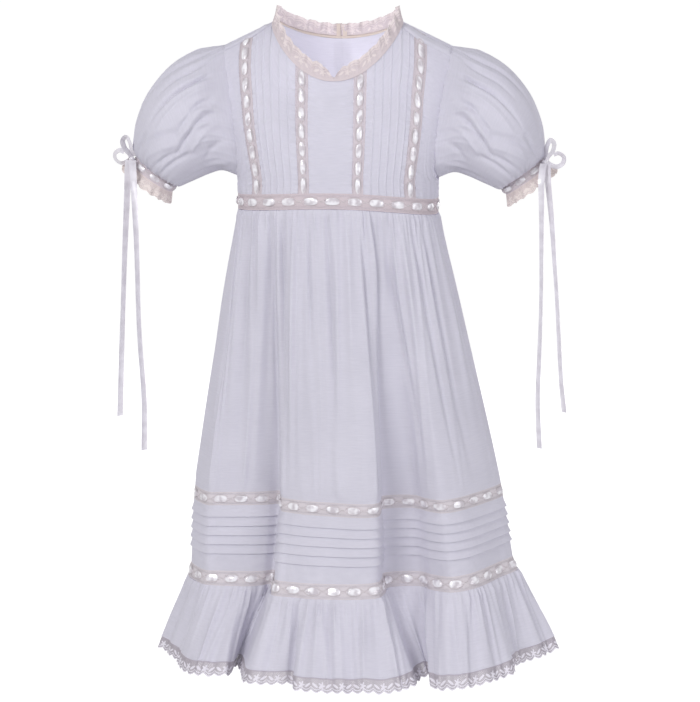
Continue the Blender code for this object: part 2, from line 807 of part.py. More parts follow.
# Sleeves
def armhole(around):
    """Return the left armhole's point, from the shoulder (0) over the front to the back (degrees)."""
    side = -1 if around % 360 < 180 else 1
    way = ARMPIT + (0 - ARMPIT) * (1 + math.cos(math.radians(around))) / 2
    point = torso(-side_edge(way), way, side)
    return point + Vector((-SLEEVE_CLEAR, 0, 0))


def sleeve_ring(row, around):
    """Return a point of one of the sleeve's rings."""
    top_x, top_z, low_x, low_z, half_depth = row
    centre = Vector(((top_x + low_x) / 2, 0, (top_z + low_z) / 2))
    reach = Vector(((top_x - low_x) / 2, 0, (top_z - low_z) / 2))
    angle = math.radians(around)
    return (centre + reach * math.cos(angle) + Vector((0, -half_depth, 0)) * math.sin(angle)) * MM


def sleeve(around, along):
    """Return the left sleeve's point: turn about the arm, and ring number from 0 at the armhole."""
    points = [armhole(around)] + [sleeve_ring(row, around) for row in SLEEVE]
    return smooth(list(range(len(points))), points, along)


def sleeve_gathers(around, along):
    """Return the small gathers at the sleeve's head and at its cuff."""
    wave = math.cos(math.pi * around * SLEEVE_COLUMNS / 360)
    upper = max(0.0, math.cos(math.radians(around)) + 0.3)
    head = 1.3 * upper * straight((0, 0.4, 1, 2), (0.1, 1, 0.6, 0), along)
    wrist = 1.5 * straight((3, 5, 5.6, 6), (0, 0.8, 1, 0.2), along)
    return (head + wrist) * MM * wave


def cuff(around, along):
    """Return a point of the left cuff and its lace, at a distance past the sleeve's last ring."""
    top_x, top_z, low_x, low_z, half_depth = SLEEVE[-1]
    reach = Vector((top_x - low_x, 0, top_z - low_z)) * MM / 2
    centre = Vector((top_x + low_x, 0, top_z + low_z)) * MM / 2
    forward = Vector((-reach.z, 0, reach.x)).normalized()
    past_band = max(0.0, along - CUFF_BAND)
    flare = CUFF_FLARE * past_band / CUFF_LACE
    angle = math.radians(around)
    ring = reach * (1 + flare / reach.length) * math.cos(angle)
    ring += Vector((0, -half_depth * MM - flare, 0)) * math.sin(angle)
    return centre + forward * along + ring


def mirrored(surface, hand):
    """Return a left-hand surface as it is, or mirrored for the right."""
    def place(u, v):
        point = surface(u, v)
        return Vector((point.x * -hand, point.y, point.z))

    return place


def cuff_frill(around, along):
    """Return the cuff lace's waves, widest at its free edge."""
    height = max(0.0, along - CUFF_BAND) / CUFF_LACE
    return 1.4 * MM * height * math.cos(math.pi * around * SLEEVE_COLUMNS / 360)


def make_sleeve(name, hand):
    """Make a sleeve, its cuff beading, ribbon and lace."""
    around = level([360 * k / SLEEVE_COLUMNS for k in range(SLEEVE_COLUMNS)])
    shape = mirrored(sleeve, hand)
    cloth("sleeve_" + name, shape, around, level(SLEEVE_ROWS), COTTON, outward=hand, closed=True,
          ripple=sleeve_gathers)
    shape = mirrored(cuff, hand)
    edge = 2 * SEAM
    cloth("cuff_beading_" + name, shape, around, level((edge, CUFF_BAND)), LACE, wall=TRIM,
          outward=hand, closed=True)
    inset = (CUFF_BAND - 5.5 * MM) / 2
    cloth("cuff_ribbon_" + name, shape, around, level((inset, CUFF_BAND - inset)), SATIN,
          base=LAID_ON + TRIM, wall=TRIM, outward=hand, closed=True)
    cloth("cuff_lace_" + name, shape, around, level((CUFF_BAND + edge, CUFF_BAND + CUFF_LACE)), LACE,
          wall=TRIM, outward=hand, closed=True, ripple=cuff_frill)


# Bows
def make_bow(name, hand):
    """Make a bow's two loops from one ribbon, and the knot over them."""
    points = [Vector((x * -hand, y, z)) * MM for x, y, z in BOW_LOOPS]
    count = 2 * (len(points) - 1)
    stations = list(range(len(points)))
    route = [smooth(stations, points, k / 2) for k in range(count + 1)]
    widths = [Vector((0, 1, 0))] * len(route)
    ribbon("bow_loops_" + name, route, widths, BOW_RIBBON, SATIN)

    bm = bmesh.new()
    bmesh.ops.create_icosphere(bm, subdivisions=2, radius=KNOT_RADIUS)
    knot = add_object("bow_knot_" + name, bm, SATIN)
    knot.location = (KNOT[0] * MM * -hand, KNOT[1] * MM, KNOT[2] * MM)


def make_tail(name, rows):
    """Make a ribbon tail that hangs from a bow."""
    points = [Vector(row[:3]) * MM for row in rows]
    turns = column(rows, 3)
    stations = [row[2] for row in reversed(rows)]
    points.reverse()
    turns.reverse()
    route = []
    widths = []
    for height in spread(stations[-1], stations[0], TAIL_POINTS - 1):
        route.append(smooth(stations, points, height))
        turn = math.radians(smooth(stations, turns, height))
        widths.append(Vector((math.cos(turn), math.sin(turn), 0)))
    ribbon(name, route, widths, RIBBON, SATIN)


def make_bows():
    """Make both bows and their four tails."""
    make_bow("left", -1)
    make_bow("right", 1)
    make_tail("tail_left_outer", LEFT_OUTER_TAIL)
    make_tail("tail_left_inner", LEFT_INNER_TAIL)
    make_tail("tail_right_outer", RIGHT_OUTER_TAIL)
    make_tail("tail_right_inner", RIGHT_INNER_TAIL)


for old in list(bpy.data.objects):
    bpy.data.objects.remove(old)

make_bodice()
make_back_closing()
make_neck()
make_waist()
make_skirt()
make_sleeve("left", -1)
make_sleeve("right", 1)
make_bows()
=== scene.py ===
"""Lace dress for a child of about four, filled out as if worn: cloth, lace, ribbons, light and camera.

Metres, +Z up, the front faces -Y. The pieces lie on the same surfaces as the solids and use their numbers.
Left and right are the picture's, seen from the front.
"""

import bisect
import functools
import math
import random

import bmesh
import bpy
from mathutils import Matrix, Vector


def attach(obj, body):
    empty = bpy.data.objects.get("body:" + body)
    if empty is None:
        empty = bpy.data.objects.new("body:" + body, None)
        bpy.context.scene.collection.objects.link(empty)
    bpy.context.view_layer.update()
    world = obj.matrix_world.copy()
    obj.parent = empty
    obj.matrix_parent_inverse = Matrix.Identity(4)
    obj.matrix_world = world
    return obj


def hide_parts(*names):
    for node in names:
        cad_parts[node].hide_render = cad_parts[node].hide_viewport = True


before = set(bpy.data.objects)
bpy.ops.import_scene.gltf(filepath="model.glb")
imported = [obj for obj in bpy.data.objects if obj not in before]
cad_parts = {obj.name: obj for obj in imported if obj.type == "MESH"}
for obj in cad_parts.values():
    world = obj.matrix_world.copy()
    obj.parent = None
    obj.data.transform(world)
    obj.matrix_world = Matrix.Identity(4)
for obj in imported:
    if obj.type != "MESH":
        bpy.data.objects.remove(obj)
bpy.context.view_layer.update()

MM = 0.001

FLOOR = -0.80

# Cloth and trim
CLOTH_WALL = 0.5 * MM
LACE_WALL = 0.4 * MM
RIBBON_WALL = 0.3 * MM
RIBBON = 7.0 * MM
UPRIGHT_RIBBON = 5.0 * MM
BEADING_REPEAT = 21.5 * MM
UPRIGHT_REPEAT = 17 * MM
EYE_HALF = 0.33
UPRIGHT_EYE_HALF = 0.42
SEAM_TURN = 0.1
BEADING_STEP = {"front": 1.2 * MM, "back": 1.8 * MM}
UPRIGHT_BEADING = 11.5 * MM
CORD_HALF = 0.4 * MM
# Ribbon in its eyes: how far it rises, how much that changes from eye to eye, and its slope (mm)
PUFF = 1.4
PUFF_CHANGE = 0.5
PUFF_SLOPE = 1.2
# Rise of the lace's bars between the eyes (mm)
BAR_RISE = 0.9
# A real net has meshes of 1 mm; these are 1.7 mm so that they show
NET_MESH = 1.7 * MM
SCALLOP = 10.4 * MM
SCALLOP_DEPTH = 2.6 * MM
# A soft fold ends so many half widths from its line
FOLD_REACH = 2.5
# A vertex further than this from all its neighbours was thrown out of the cloth
SPIKE = 5 * MM
SHARP_ANGLE = 50

# Torso
WAIST_HALF = 103 * MM
WAIST_FRONT = 75 * MM
WAIST_BACK = 70 * MM
ROUNDNESS = 2.3
WAIST_TOP = -167 * MM
WAIST_BAND = 16 * MM
WAIST_DIP_LEFT = 7 * MM
WAIST_DIP_RIGHT = 11 * MM
SHOULDER_HALF = 136 * MM
SHOULDER_TIP = 120 * MM
SHOULDER_DROP = 26 * MM
SHOULDER_ROLL = 60 * MM
SHOULDER_SEAM = 0.16
SEAM_AT_NECK = 0.05
NECK_HALF = 65 * MM
NECK_FRONT_DROP = 57 * MM
NECK_BACK_DROP = 19.5 * MM

# Torso sections, from the waist up: height, half width, front depth, back depth (mm)
TORSO = (
    (-183, 103, 75, 70),
    (-167, 103, 75, 70),
    (-155, 104, 74, 71),
    (-132, 111, 72, 71),
    (-98, 121, 67, 71),
    (-64, 129, 57, 66),
    (-40, 134, 50, 58),
    (-20, 136, 46, 48),
    (0, 137, 44, 44),
    (30, 137, 42, 42),
)

# Edge of the bodice: its way up from waist (-3) to shoulder ridge (0), and the turn from the middle
SIDE_EDGE = (
    (-3.0, 90),
    (-2.6, 90),
    (-2.5, 78),
    (-2.3, 68),
    (-1.9, 61),
    (-1.4, 57.5),
    (-1.0, 56),
    (-0.5, 56),
    (0.0, 58),
    (0.2, 58),
)
ARMPIT = -2.6

# Upright beadings of the front: the middle and half the width, at the waist and then at the top (mm)
OUTER_LEFT = (-78, 5.5, -91, 6.5)
INNER_LEFT = (-29, 5.5, -33, 6.5)
INNER_RIGHT = (25.5, 5.5, 27, 6.5)
OUTER_RIGHT = (77, 5.5, 83, 6.5)
FRONT_TUCKS = 5
TUCK_ROOM = 0.6
FIRST_CREST = 0.85
# Rise of a pin tuck (mm), and the width of its two slopes as parts of the space from tuck to tuck
TUCK_RISE = 0.75
TUCK_BACK = 0.2
TUCK_FACE = 0.14
# Turned edge of a shoulder seam: the part of the bodice's height at which it ends, and its rise (mm)
TURNING_END = 0.99
TURNING_RISE = 2.0
# Puckers beside a seam: rise and length (mm), and how far they reach, as a part of the panel's width
PUCKER_RISE = 0.75
PUCKER_LENGTH = 7
PUCKER_REACH = 0.14

# Skirt seams, as heights at the middle of the front (mm)
SKIRT_TOP = -183.4
UPPER_BAND = -486
LOWER_BAND = -568
BAND_HEIGHT = 14.5
HEM = -650
LACE_BOTTOM = -663
SKIRT_LEVELS = (SKIRT_TOP, UPPER_BAND, LOWER_BAND, HEM)
SKIRT_TUCKS = 5
TUCK_STEP = 9.5
FIRST_TUCK = 11.5
# A flat tuck covers this part of the step to the next one, and stands out so far (mm)
TUCK_COVER = 0.8
FLAT_TUCK_RISE = 2.1
# Ruffle: its waves, the ripple on them and its rolled edge (mm)
RUFFLE_WAVE = 1.7
RUFFLE_RIPPLE = 0.8
ROLLED_EDGE = 0.7
SEAM_LIFT_LEFT = (-7, 1, -1, -2)
SEAM_LIFT_MIDDLE = (0, 3, 2, -2)
SEAM_LIFT_RIGHT = (-11, 9, 13, 7)

# Crease lines of the skirt, once round from the left side over the front: how many columns of cloth
# to the next one, then x and y on the upper beading, on the lower beading and on the hem (mm)
CREASES = (
    ("left side", 2, -152, 0, -157, 0, -187, 0),
    ("left front", 3, -136, -32, -140, -34, -168, -34),
    ("left swell", 2, -120, -36, -124, -40, -148, -80),
    ("left flat", 2, -100, -36, -102, -42, -124, -88),
    ("left edge", 1, -84, -35, -88, -43, -102, -83),
    ("under the left edge", 2, -72, -33, -76, -42, -103, -62),
    ("behind the big pleat", 1, -58, -31, -63, -39, -93, -65),
    ("edge of the big pleat", 2, -55, -55, -60, -72, -86, -105),
    ("top of the big pleat", 2, -44, -65, -47, -81, -61, -113),
    ("middle left", 1, -31, -71, -33, -85, -38, -110),
    ("ruffle step", 3, -22, -74, -24, -87, -32, -127),
    ("middle", 3, -2, -78, -2, -88, 5, -133),
    ("middle right", 2, 27, -83, 28, -87, 34, -131),
    ("right edge", 2, 45, -80, 46, -80, 62, -129),
    ("right edge folded back", 1, 49, -63, 50, -61, 82, -106),
    ("behind the right edge", 1, 49, -48, 51, -44, 87, -84),
    ("hollow", 1, 64, -42, 67, -39, 95, -75),
    ("behind the small pleat", 2, 81, -44, 87, -41, 104, -80),
    ("edge of the small pleat", 2, 95, -59, 101, -55, 108, -115),
    ("top of the small pleat", 2, 110, -69, 121, -68, 127, -120),
    ("small pleat falling", 3, 125, -62, 138, -62, 150, -108),
    ("right swell", 2, 140, -47, 152, -48, 180, -78),
    ("right front", 2, 157, -26, 169, -24, 188, -46),
    ("right side swell", 2, 166, -13, 179, -12, 209, -27),
    ("right side", 2, 170, 0, 183, 0, 224, 0),
    ("back fold 1", 3, 160, 22, 171, 25, 207, 36),
    ("back fold 2", 2, 141, 45, 152, 53, 182, 82),
    ("back fold 3", 3, 118, 46, 128, 51, 150, 68),
    ("back fold 4", 2, 92, 61, 100, 71, 122, 110),
    ("back fold 5", 3, 66, 55, 70, 62, 88, 86),
    ("back fold 6", 2, 38, 69, 41, 81, 52, 124),
    ("back fold 7", 3, 10, 62, 11, 70, 16, 96),
    ("back fold 8", 2, -18, 71, -19, 83, -22, 127),
    ("back fold 9", 3, -46, 59, -47, 66, -58, 92),
    ("back fold 10", 2, -74, 65, -76, 75, -90, 114),
    ("back fold 11", 3, -98, 50, -100, 55, -120, 74),
    ("back fold 12", 2, -122, 48, -126, 54, -150, 84),
    ("back fold 13", 2, -142, 25, -147, 27, -174, 38),
)

# Long soft folds of the upper skirt: place at the waist and at the beading (columns), where each starts
# and ends below the waist (mm), its rise (mm, a trough below zero) and its half width (columns)
LONG_FOLDS = (
    (1.5, 3.9, 10, 300, -1.4, 0.7),
    (4.5, 5.2, 5, 220, 1.2, 0.6),
    (6.8, 6.4, 15, 290, -1.2, 0.5),
    (9.2, 8.3, 8, 290, 1.5, 0.8),
    (11.3, 11.0, 4, 180, -1.1, 0.5),
    (13.6, 13.8, 10, 296, -2.4, 0.5),
    (16.4, 14.6, 6, 250, 2.2, 0.6),
    (18.6, 18.2, 5, 150, -1.2, 0.4),
    (21.8, 22.0, 5, 290, -1.5, 0.35),
    (24.0, 24.4, 8, 200, 1.4, 0.8),
    (26.2, 27.3, 25, 296, -1.9, 0.5),
    (28.3, 29.4, 10, 180, 1.1, 0.6),
    (30.0, 33.7, 8, 290, -1.8, 0.5),
    (33.4, 35.6, 6, 190, 1.2, 0.6),
    (35.8, 38.2, 4, 280, -1.8, 0.45),
    (38.4, 40.8, 5, 290, -1.6, 0.4),
    (41.6, 42.6, 8, 240, 1.3, 0.6),
    (44.0, 45.0, 4, 260, -1.5, 0.45),
    (49.5, 50.0, 6, 230, -1.6, 0.6),
    (54.0, 53.6, 6, 260, 1.5, 0.7),
    (58.2, 58.6, 8, 200, -1.5, 0.5),
    (62.6, 62.2, 6, 280, -1.6, 0.6),
    (66.5, 67.0, 6, 220, 1.4, 0.7),
    (70.8, 70.4, 6, 260, -1.6, 0.6),
    (75.4, 75.2, 8, 210, 1.3, 0.6),
)

# Left sleeve, ring by ring from the armhole to the cuff: top x, z, underside x, z, half depth (mm)
SLEEVE = (
    (-141.7, -29.7, -119, -152, 55),
    (-170.7, -45.1, -132.7, -155.6, 60),
    (-193.8, -70.7, -145.3, -160.9, 60),
    (-206.8, -99.5, -155.7, -165.1, 54),
    (-210.3, -122.1, -163, -167.7, 42),
    (-208.1, -137.6, -166.7, -167.6, 25),
)
SLEEVE_UNDER = 0.6 * MM
CUFF_BAND = 9 * MM
CUFF_LACE = 11.5 * MM
CUFF_FLARE = 5.5 * MM
CUFF_RIBBON = 4.6 * MM
CUFF_SCALLOPS = 18
CUFF_SCALLOP_DEPTH = 1.6 * MM
# Rings over which the gathers at both ends of the sleeve begin
SLEEVE_START = 0.4
# How far the cuff's and the neck's lace waves in and out (mm)
CUFF_FRILL = 1.3
NECK_FRILL = 1.9
# Points inside a sleeve and a cuff, on the right-hand side: x and z
SLEEVE_CENTRE = (0.17, -0.11)
CUFF_CENTRE = (0.19, -0.165)

# Neck trim
NECK_BINDING = 3 * MM
NECK_LACE = 12 * MM
NECK_LEAN = 0.38
NECK_SIDE_COLUMNS = 9
NECK_FRONT_COLUMNS = 20
NEAR_CORNER = 0.955
NECK_LACE_FOOT = -0.4 * MM
NECK_LACE_TOP = NECK_BINDING + NECK_LACE + 1.5 * MM
NECK_SCALLOP = 13 * MM
NECK_SCALLOP_DEPTH = 2.2 * MM
NECK_END = 4.2 * MM

# Bows: the left one's ribbon path, then tails as x, y, z and the turn of the ribbon (mm, degrees)
BOW_LOOPS = (
    (-208.9, -9.5, -137.8),
    (-211.5, -14, -131.4),
    (-212.7, -17, -123.9),
    (-216.1, -18, -117.4),
    (-220.1, -17, -121.4),
    (-218.7, -13.5, -129.4),
    (-214.3, -10, -135.2),
    (-212.9, -9.5, -139.4),
    (-216.1, -9, -142.8),
    (-222.5, -9, -145.2),
    (-228.5, -9, -142.4),
    (-230.1, -9, -136.0),
    (-225.1, -9, -131.8),
    (-219.9, -9, -133.3),
)
BOW_RIBBON = 6 * MM
BOW_STEPS = 8
TAIL_STEPS = 90
TAIL_CURL = 0.5 * MM
KNOT = (-211.1, -15.8, -140.8)
KNOT_RADIUS = 3.2 * MM
TAILS = {
    "tail_left_outer": (
        (-213.6, -19.9, -141, 10),
        (-213.4, -27, -150, 20),
        (-213.2, -31.5, -160, 30),
        (-214.6, -32, -185, 40),
        (-217.4, -32, -232, 52),
        (-220.2, -32, -288, 58),
        (-222.5, -32, -337, 52),
        (-225.4, -32, -406, 45),
    ),
    "tail_left_inner": (
        (-209.6, -21.2, -141, 10),
        (-207.6, -31, -150, 20),
        (-206.4, -36, -161, 30),
        (-205.4, -36.5, -190, 45),
        (-204.4, -36.5, -231, 55),
        (-203.2, -36.5, -314, 60),
        (-199.2, -36.5, -388, 52),
        (-199.8, -36.5, -441, 45),
    ),
    "tail_right_outer": (
        (213.6, -19.9, -141, -10),
        (213.8, -27, -150, -20),
        (214.6, -31.5, -160, -32),
        (218.8, -32, -197, -45),
        (222.2, -32, -238, -55),
        (225.6, -32, -280, -58),
        (231.0, -32, -362, -52),
        (234.6, -32, -395, -45),
    ),
    "tail_right_inner": (
        (209.6, -21.2, -141, -10),
        (208.2, -31, -150, -20),
        (207.8, -36, -161, -30),
        (208.6, -36.5, -197, -48),
        (209.4, -36.5, -278, -60),
        (208.4, -36.5, -336, -55),
        (207.4, -36.5, -382, -50),
        (209.8, -36.5, -432, -45),
    ),
}

# Back closing
STRIP_HALF = 7 * MM
STRIP_TOP = 0.985


# Curves
def smooth(stations, values, at):
    """Return the smooth curve through values at rising stations, straight on past both ends."""
    last = len(stations) - 1
    if at <= stations[0] or at >= stations[last]:
        end, inner = (0, 1) if at <= stations[0] else (last, last - 1)
        slope = (values[inner] - values[end]) / (stations[inner] - stations[end])
        return values[end] + slope * (at - stations[end])
    low = bisect.bisect_right(stations, at) - 1

    def slope_at(k):
        before = max(k - 1, 0)
        after = min(k + 1, last)
        return (values[after] - values[before]) / (stations[after] - stations[before])

    step = stations[low + 1] - stations[low]
    part = (at - stations[low]) / step
    back = 1 - part
    return (
        values[low] * (1 + 2 * part) * back * back
        + slope_at(low) * step * part * back * back
        + values[low + 1] * part * part * (3 - 2 * part)
        - slope_at(low + 1) * step * part * part * back
    )


def straight(stations, values, at):
    """Return the value at a station on the broken line through the values."""
    if at <= stations[0]:
        return values[0]
    for k in range(len(stations) - 1):
        if at <= stations[k + 1]:
            part = (at - stations[k]) / (stations[k + 1] - stations[k])
            return values[k] + part * (values[k + 1] - values[k])
    return values[-1]


def column(table, index):
    """Return one column of a table as a list."""
    return [row[index] for row in table]


def spread(first, last, steps):
    """Return evenly spaced numbers from first to last."""
    return [first + (last - first) * k / steps for k in range(steps + 1)]


def lengths_along(route):
    """Return how far along a route each of its points lies."""
    lengths = [0.0]
    for before, after in zip(route, route[1:]):
        lengths.append(lengths[-1] + (after - before).length)
    return lengths


# Torso
TORSO_Z, TORSO_HALF, TORSO_FRONT, TORSO_BACK = ([size * MM for size in column(TORSO, k)] for k in range(4))


def width_part(turn):
    """Return how far out a turn from the middle stands, as a part of the half width."""
    return math.sin(math.radians(min(abs(turn), 180 - abs(turn)))) ** (2 / ROUNDNESS)


def depth_part(turn):
    """Return how far forward a turn from the middle stands, as a part of the depth."""
    return math.copysign(abs(math.cos(math.radians(turn))) ** (2 / ROUNDNESS), math.cos(math.radians(turn)))


def turn_at(x, half):
    """Return the turn in degrees that stands at x on a section of that half width (mm)."""
    part = (abs(x) / half) ** (ROUNDNESS / 2)
    return math.copysign(math.degrees(math.asin(part)), x)


NECK_CORNER = turn_at(NECK_HALF / MM, SHOULDER_HALF / MM)


def waist_x(turn):
    """Return x on the waist at a turn from the middle."""
    return math.copysign(WAIST_HALF * width_part(turn), turn)


def waist_height(x):
    """Return the height of the waist seam's top at x: it dips towards both sides."""
    dip = WAIST_DIP_LEFT if x < 0 else WAIST_DIP_RIGHT
    return WAIST_TOP - dip * (x / WAIST_HALF) ** 2


def ridge_height(turn):
    """Return the height of the shoulder ridge at a turn from the middle."""
    out = SHOULDER_HALF * width_part(turn)
    return -SHOULDER_DROP * (out - NECK_HALF) / (SHOULDER_TIP - NECK_HALF)


def torso(turn, way, side):
    """Return the point of the torso at a turn from the middle and a way up.

    The way is -3 at the waist and -1 where the shoulder starts to roll over, 0 on its ridge and
    more beyond it. The side is -1 at the front and 1 at the back.
    """
    ridge = ridge_height(turn)
    start = ridge - SHOULDER_ROLL
    waist = waist_height(waist_x(turn))
    if way <= -1:
        z = start + (way + 1) / 2 * (start - waist)
        roll = 1.0
    else:
        angle = -way * math.pi / 2
        z = ridge - SHOULDER_ROLL * (1 - math.cos(angle))
        roll = math.sin(angle)
    half = smooth(TORSO_Z, TORSO_HALF, z)
    depth = smooth(TORSO_Z, TORSO_FRONT if side < 0 else TORSO_BACK, z)
    x = math.copysign(half * width_part(turn), turn)
    return Vector((x, side * depth * depth_part(turn) * roll, z))


def top_way(turn, side):
    """Return the way up at which the bodice ends: neckline or shoulder seam."""
    out = SHOULDER_HALF * width_part(turn)
    if out >= NECK_HALF - 0.1 * MM:
        return side * straight((NECK_HALF, NECK_HALF + 20 * MM), (SEAM_AT_NECK, SHOULDER_SEAM), out)
    if side < 0:
        drop = NECK_FRONT_DROP * (1 - (out / (NECK_HALF + MM)) ** 2.1) ** 0.8
    else:
        drop = NECK_BACK_DROP * (1 - (out / NECK_HALF) ** 2) ** 0.7
    below = ridge_height(turn) + drop
    if below < SHOULDER_ROLL:
        return -math.acos(1 - below / SHOULDER_ROLL) / (math.pi / 2)
    start = ridge_height(turn) - SHOULDER_ROLL
    waist = waist_height(waist_x(turn))
    return -1 - 2 * (start + drop) / (start - waist)


def side_edge(way):
    """Return the turn of the side seam and armhole at a way up."""
    return straight(column(SIDE_EDGE, 0), column(SIDE_EDGE, 1), way)


WAY_START = -3
SEAM_WAY = 0.003


def bodice_way(turn_top, side, part):
    """Return the way up at a part of the bodice's height, on a line that ends at a turn at the top."""
    return WAY_START + part * (top_way(turn_top, side) - SEAM_WAY - WAY_START)


def bodice_panel(side, left, right):
    """Return the surface of a bodice panel between two upright lines."""

    def line(edge, part):
        if edge in ("left side", "right side"):
            turn = side_edge(WAY_START + part * (-SHOULDER_SEAM - WAY_START)) - SEAM_TURN
            return -turn if edge == "left side" else turn
        return edge[0] + part * (edge[1] - edge[0])

    def surface(s, t):
        low = line(left, t)
        high = line(right, t)
        turn = low + s * (high - low)
        turn_top = line(left, 1) + s * (line(right, 1) - line(left, 1))
        return torso(turn, bodice_way(turn_top, side, t), side)

    return surface


def beading_edges(line):
    """Return the left and the right edge of an upright beading as turns at waist and top."""
    low, half_low, high, half_high = line
    waist = WAIST_HALF / MM
    top = SHOULDER_HALF / MM
    left = (turn_at(low - half_low, waist), turn_at(high - half_high, top))
    right = (turn_at(low + half_low, waist), turn_at(high + half_high, top))
    return left, right


def shifted(edge, turn):
    """Return an upright edge moved sideways by a small turn."""
    return edge[0] + turn, edge[1] + turn


def waist_surface(side):
    """Return the surface of half the waist band: turn in degrees and height above its top."""
    depth = WAIST_FRONT if side < 0 else WAIST_BACK

    def surface(turn, height):
        x = waist_x(turn)
        return Vector((x, side * depth * depth_part(turn), waist_height(x) + height))

    return surface


# Skirt
CREASE_AT = [sum(column(CREASES, 1)[:k]) for k in range(len(CREASES))]
COLUMNS = sum(column(CREASES, 1))
RIGHT_CREASE = column(CREASES, 0).index("right side")
RIGHT_SIDE = CREASE_AT[RIGHT_CREASE]
HEIGHTS_UP = tuple(reversed(SKIRT_LEVELS))


@functools.lru_cache(maxsize=None)
def waist_spot(number):
    """Return x and y of a crease at the waist: half by its place below, half evenly spaced."""
    row = CREASES[number]
    front = number <= RIGHT_CREASE
    full = abs(CREASES[0 if row[2] < 0 else RIGHT_CREASE][2])
    below = turn_at(row[2], full)
    if front:
        even = -90 + 180 * CREASE_AT[number] / RIGHT_SIDE
    else:
        even = 90 - 180 * (CREASE_AT[number] - RIGHT_SIDE) / (COLUMNS - RIGHT_SIDE)
    turn = (below + even) / 2
    x = waist_x(turn) / MM
    depth = -WAIST_FRONT if front else WAIST_BACK
    return x, depth * depth_part(turn) / MM


@functools.lru_cache(maxsize=None)
def crease_point(number, height):
    """Return x and y of one crease line at a height."""
    _, _, upper_x, upper_y, lower_x, lower_y, hem_x, hem_y = CREASES[number]
    waist_x, waist_y = waist_spot(number)
    x = smooth(HEIGHTS_UP, (hem_x, lower_x, upper_x, waist_x), height)
    y = smooth(HEIGHTS_UP, (hem_y, lower_y, upper_y, waist_y), height)
    return Vector((x, y, 0))


@functools.lru_cache(maxsize=None)
def seam_lifts(height):
    """Return how far a seam at a height stands above it at the left, the middle and the right."""
    rows = (SEAM_LIFT_LEFT, SEAM_LIFT_MIDDLE, SEAM_LIFT_RIGHT)
    return [smooth(HEIGHTS_UP, tuple(reversed(row)), height) for row in rows]


def skirt(place, height):
    """Return the skirt's point at a column round it and a nominal height in mm."""
    place %= COLUMNS
    low = bisect.bisect_right(CREASE_AT, place) - 1
    count = len(CREASES)
    stations = []
    points = []
    for k in range(low - 1, low + 3):
        stations.append(CREASE_AT[k % count] + k // count * COLUMNS)
        points.append(crease_point(k % count, height))
    point = smooth(stations, points, place)
    half = abs(crease_point(0 if point.x < 0 else RIGHT_CREASE, height).x)
    part = min(1.0, abs(point.x) / half)
    left, middle, right = seam_lifts(height)
    side = left if point.x < 0 else right
    point.z = height + middle + (side - middle) * part ** 2
    return point * MM


def ruled(top, bottom):
    """Return the skirt's surface made straight between two heights."""
    ends = functools.lru_cache(maxsize=None)(lambda place: (skirt(place, bottom), skirt(place, top)))

    def surface(place, height):
        low, high = ends(place)
        return low + (high - low) * ((height - bottom) / (top - bottom))

    return surface


# Sleeves
def armhole(around):
    """Return the left armhole's point, from the shoulder (0) over the front to the back (degrees)."""
    side = -1 if around % 360 < 180 else 1
    way = ARMPIT - ARMPIT * (1 + math.cos(math.radians(around))) / 2
    point = torso(-side_edge(way), way, side)
    return point + Vector((SLEEVE_UNDER, 0, 0))


def sleeve_ring(row, around):
    """Return a point of one of the sleeve's rings."""
    top_x, top_z, low_x, low_z, half_depth = row
    centre = Vector(((top_x + low_x) / 2, 0, (top_z + low_z) / 2))
    reach = Vector(((top_x - low_x) / 2, 0, (top_z - low_z) / 2))
    angle = math.radians(around)
    return (centre + reach * math.cos(angle) + Vector((0, -half_depth, 0)) * math.sin(angle)) * MM


@functools.lru_cache(maxsize=None)
def sleeve_line(around):
    """Return the points of one line of the left sleeve, from the armhole to the cuff."""
    return [armhole(around)] + [sleeve_ring(row, around) for row in SLEEVE]


def sleeve(around, along):
    """Return the left sleeve's point: turn about the arm, and ring number from 0 at the armhole."""
    points = sleeve_line(around)
    return smooth(list(range(len(points))), points, along)


def cuff(around, along):
    """Return a point of the left cuff and its lace, at a distance past the sleeve's last ring."""
    top_x, top_z, low_x, low_z, half_depth = SLEEVE[-1]
    reach = Vector((top_x - low_x, 0, top_z - low_z)) * MM / 2
    centre = Vector((top_x + low_x, 0, top_z + low_z)) * MM / 2
    forward = Vector((-reach.z, 0, reach.x)).normalized()
    past_band = max(0.0, along - CUFF_BAND)
    flare = CUFF_FLARE * past_band / CUFF_LACE
    angle = math.radians(around)
    ring = reach * (1 + flare / reach.length) * math.cos(angle)
    ring += Vector((0, -half_depth * MM - flare, 0)) * math.sin(angle)
    return centre + forward * along + ring


def mirrored(surface, hand):
    """Return a left-hand surface as it is, or mirrored for the right."""
    def place(u, v):
        point = surface(u, v)
        return Vector((point.x * -hand, point.y, point.z))

    return place


# Neck
def neck_route():
    """Return the neckline once round from the centre back over the left, as turn, way and side."""
    corner = NECK_CORNER
    near = corner * NEAR_CORNER
    back = [(-near * k / NECK_SIDE_COLUMNS, 1) for k in range(NECK_SIDE_COLUMNS + 1)]
    back[0] = (-0.3, 1)
    front = [(-near + 2 * near * k / NECK_FRONT_COLUMNS, -1) for k in range(NECK_FRONT_COLUMNS + 1)]
    route = [(turn, top_way(turn, side), side) for turn, side in back]
    route += [(-corner * 0.988, -0.08, 1), (-corner, -0.05, -1), (-corner, -0.2, -1)]
    route += [(turn, top_way(turn, side), side) for turn, side in front]
    route += [(corner, -0.2, -1), (corner, -0.05, -1), (corner * 0.988, -0.08, 1)]
    route += [(-turn, top_way(turn, side), side) for turn, side in reversed(back)]
    return route


NECK_POINTS = [torso(*place) for place in neck_route()]
NECK_STATIONS = list(range(len(NECK_POINTS)))


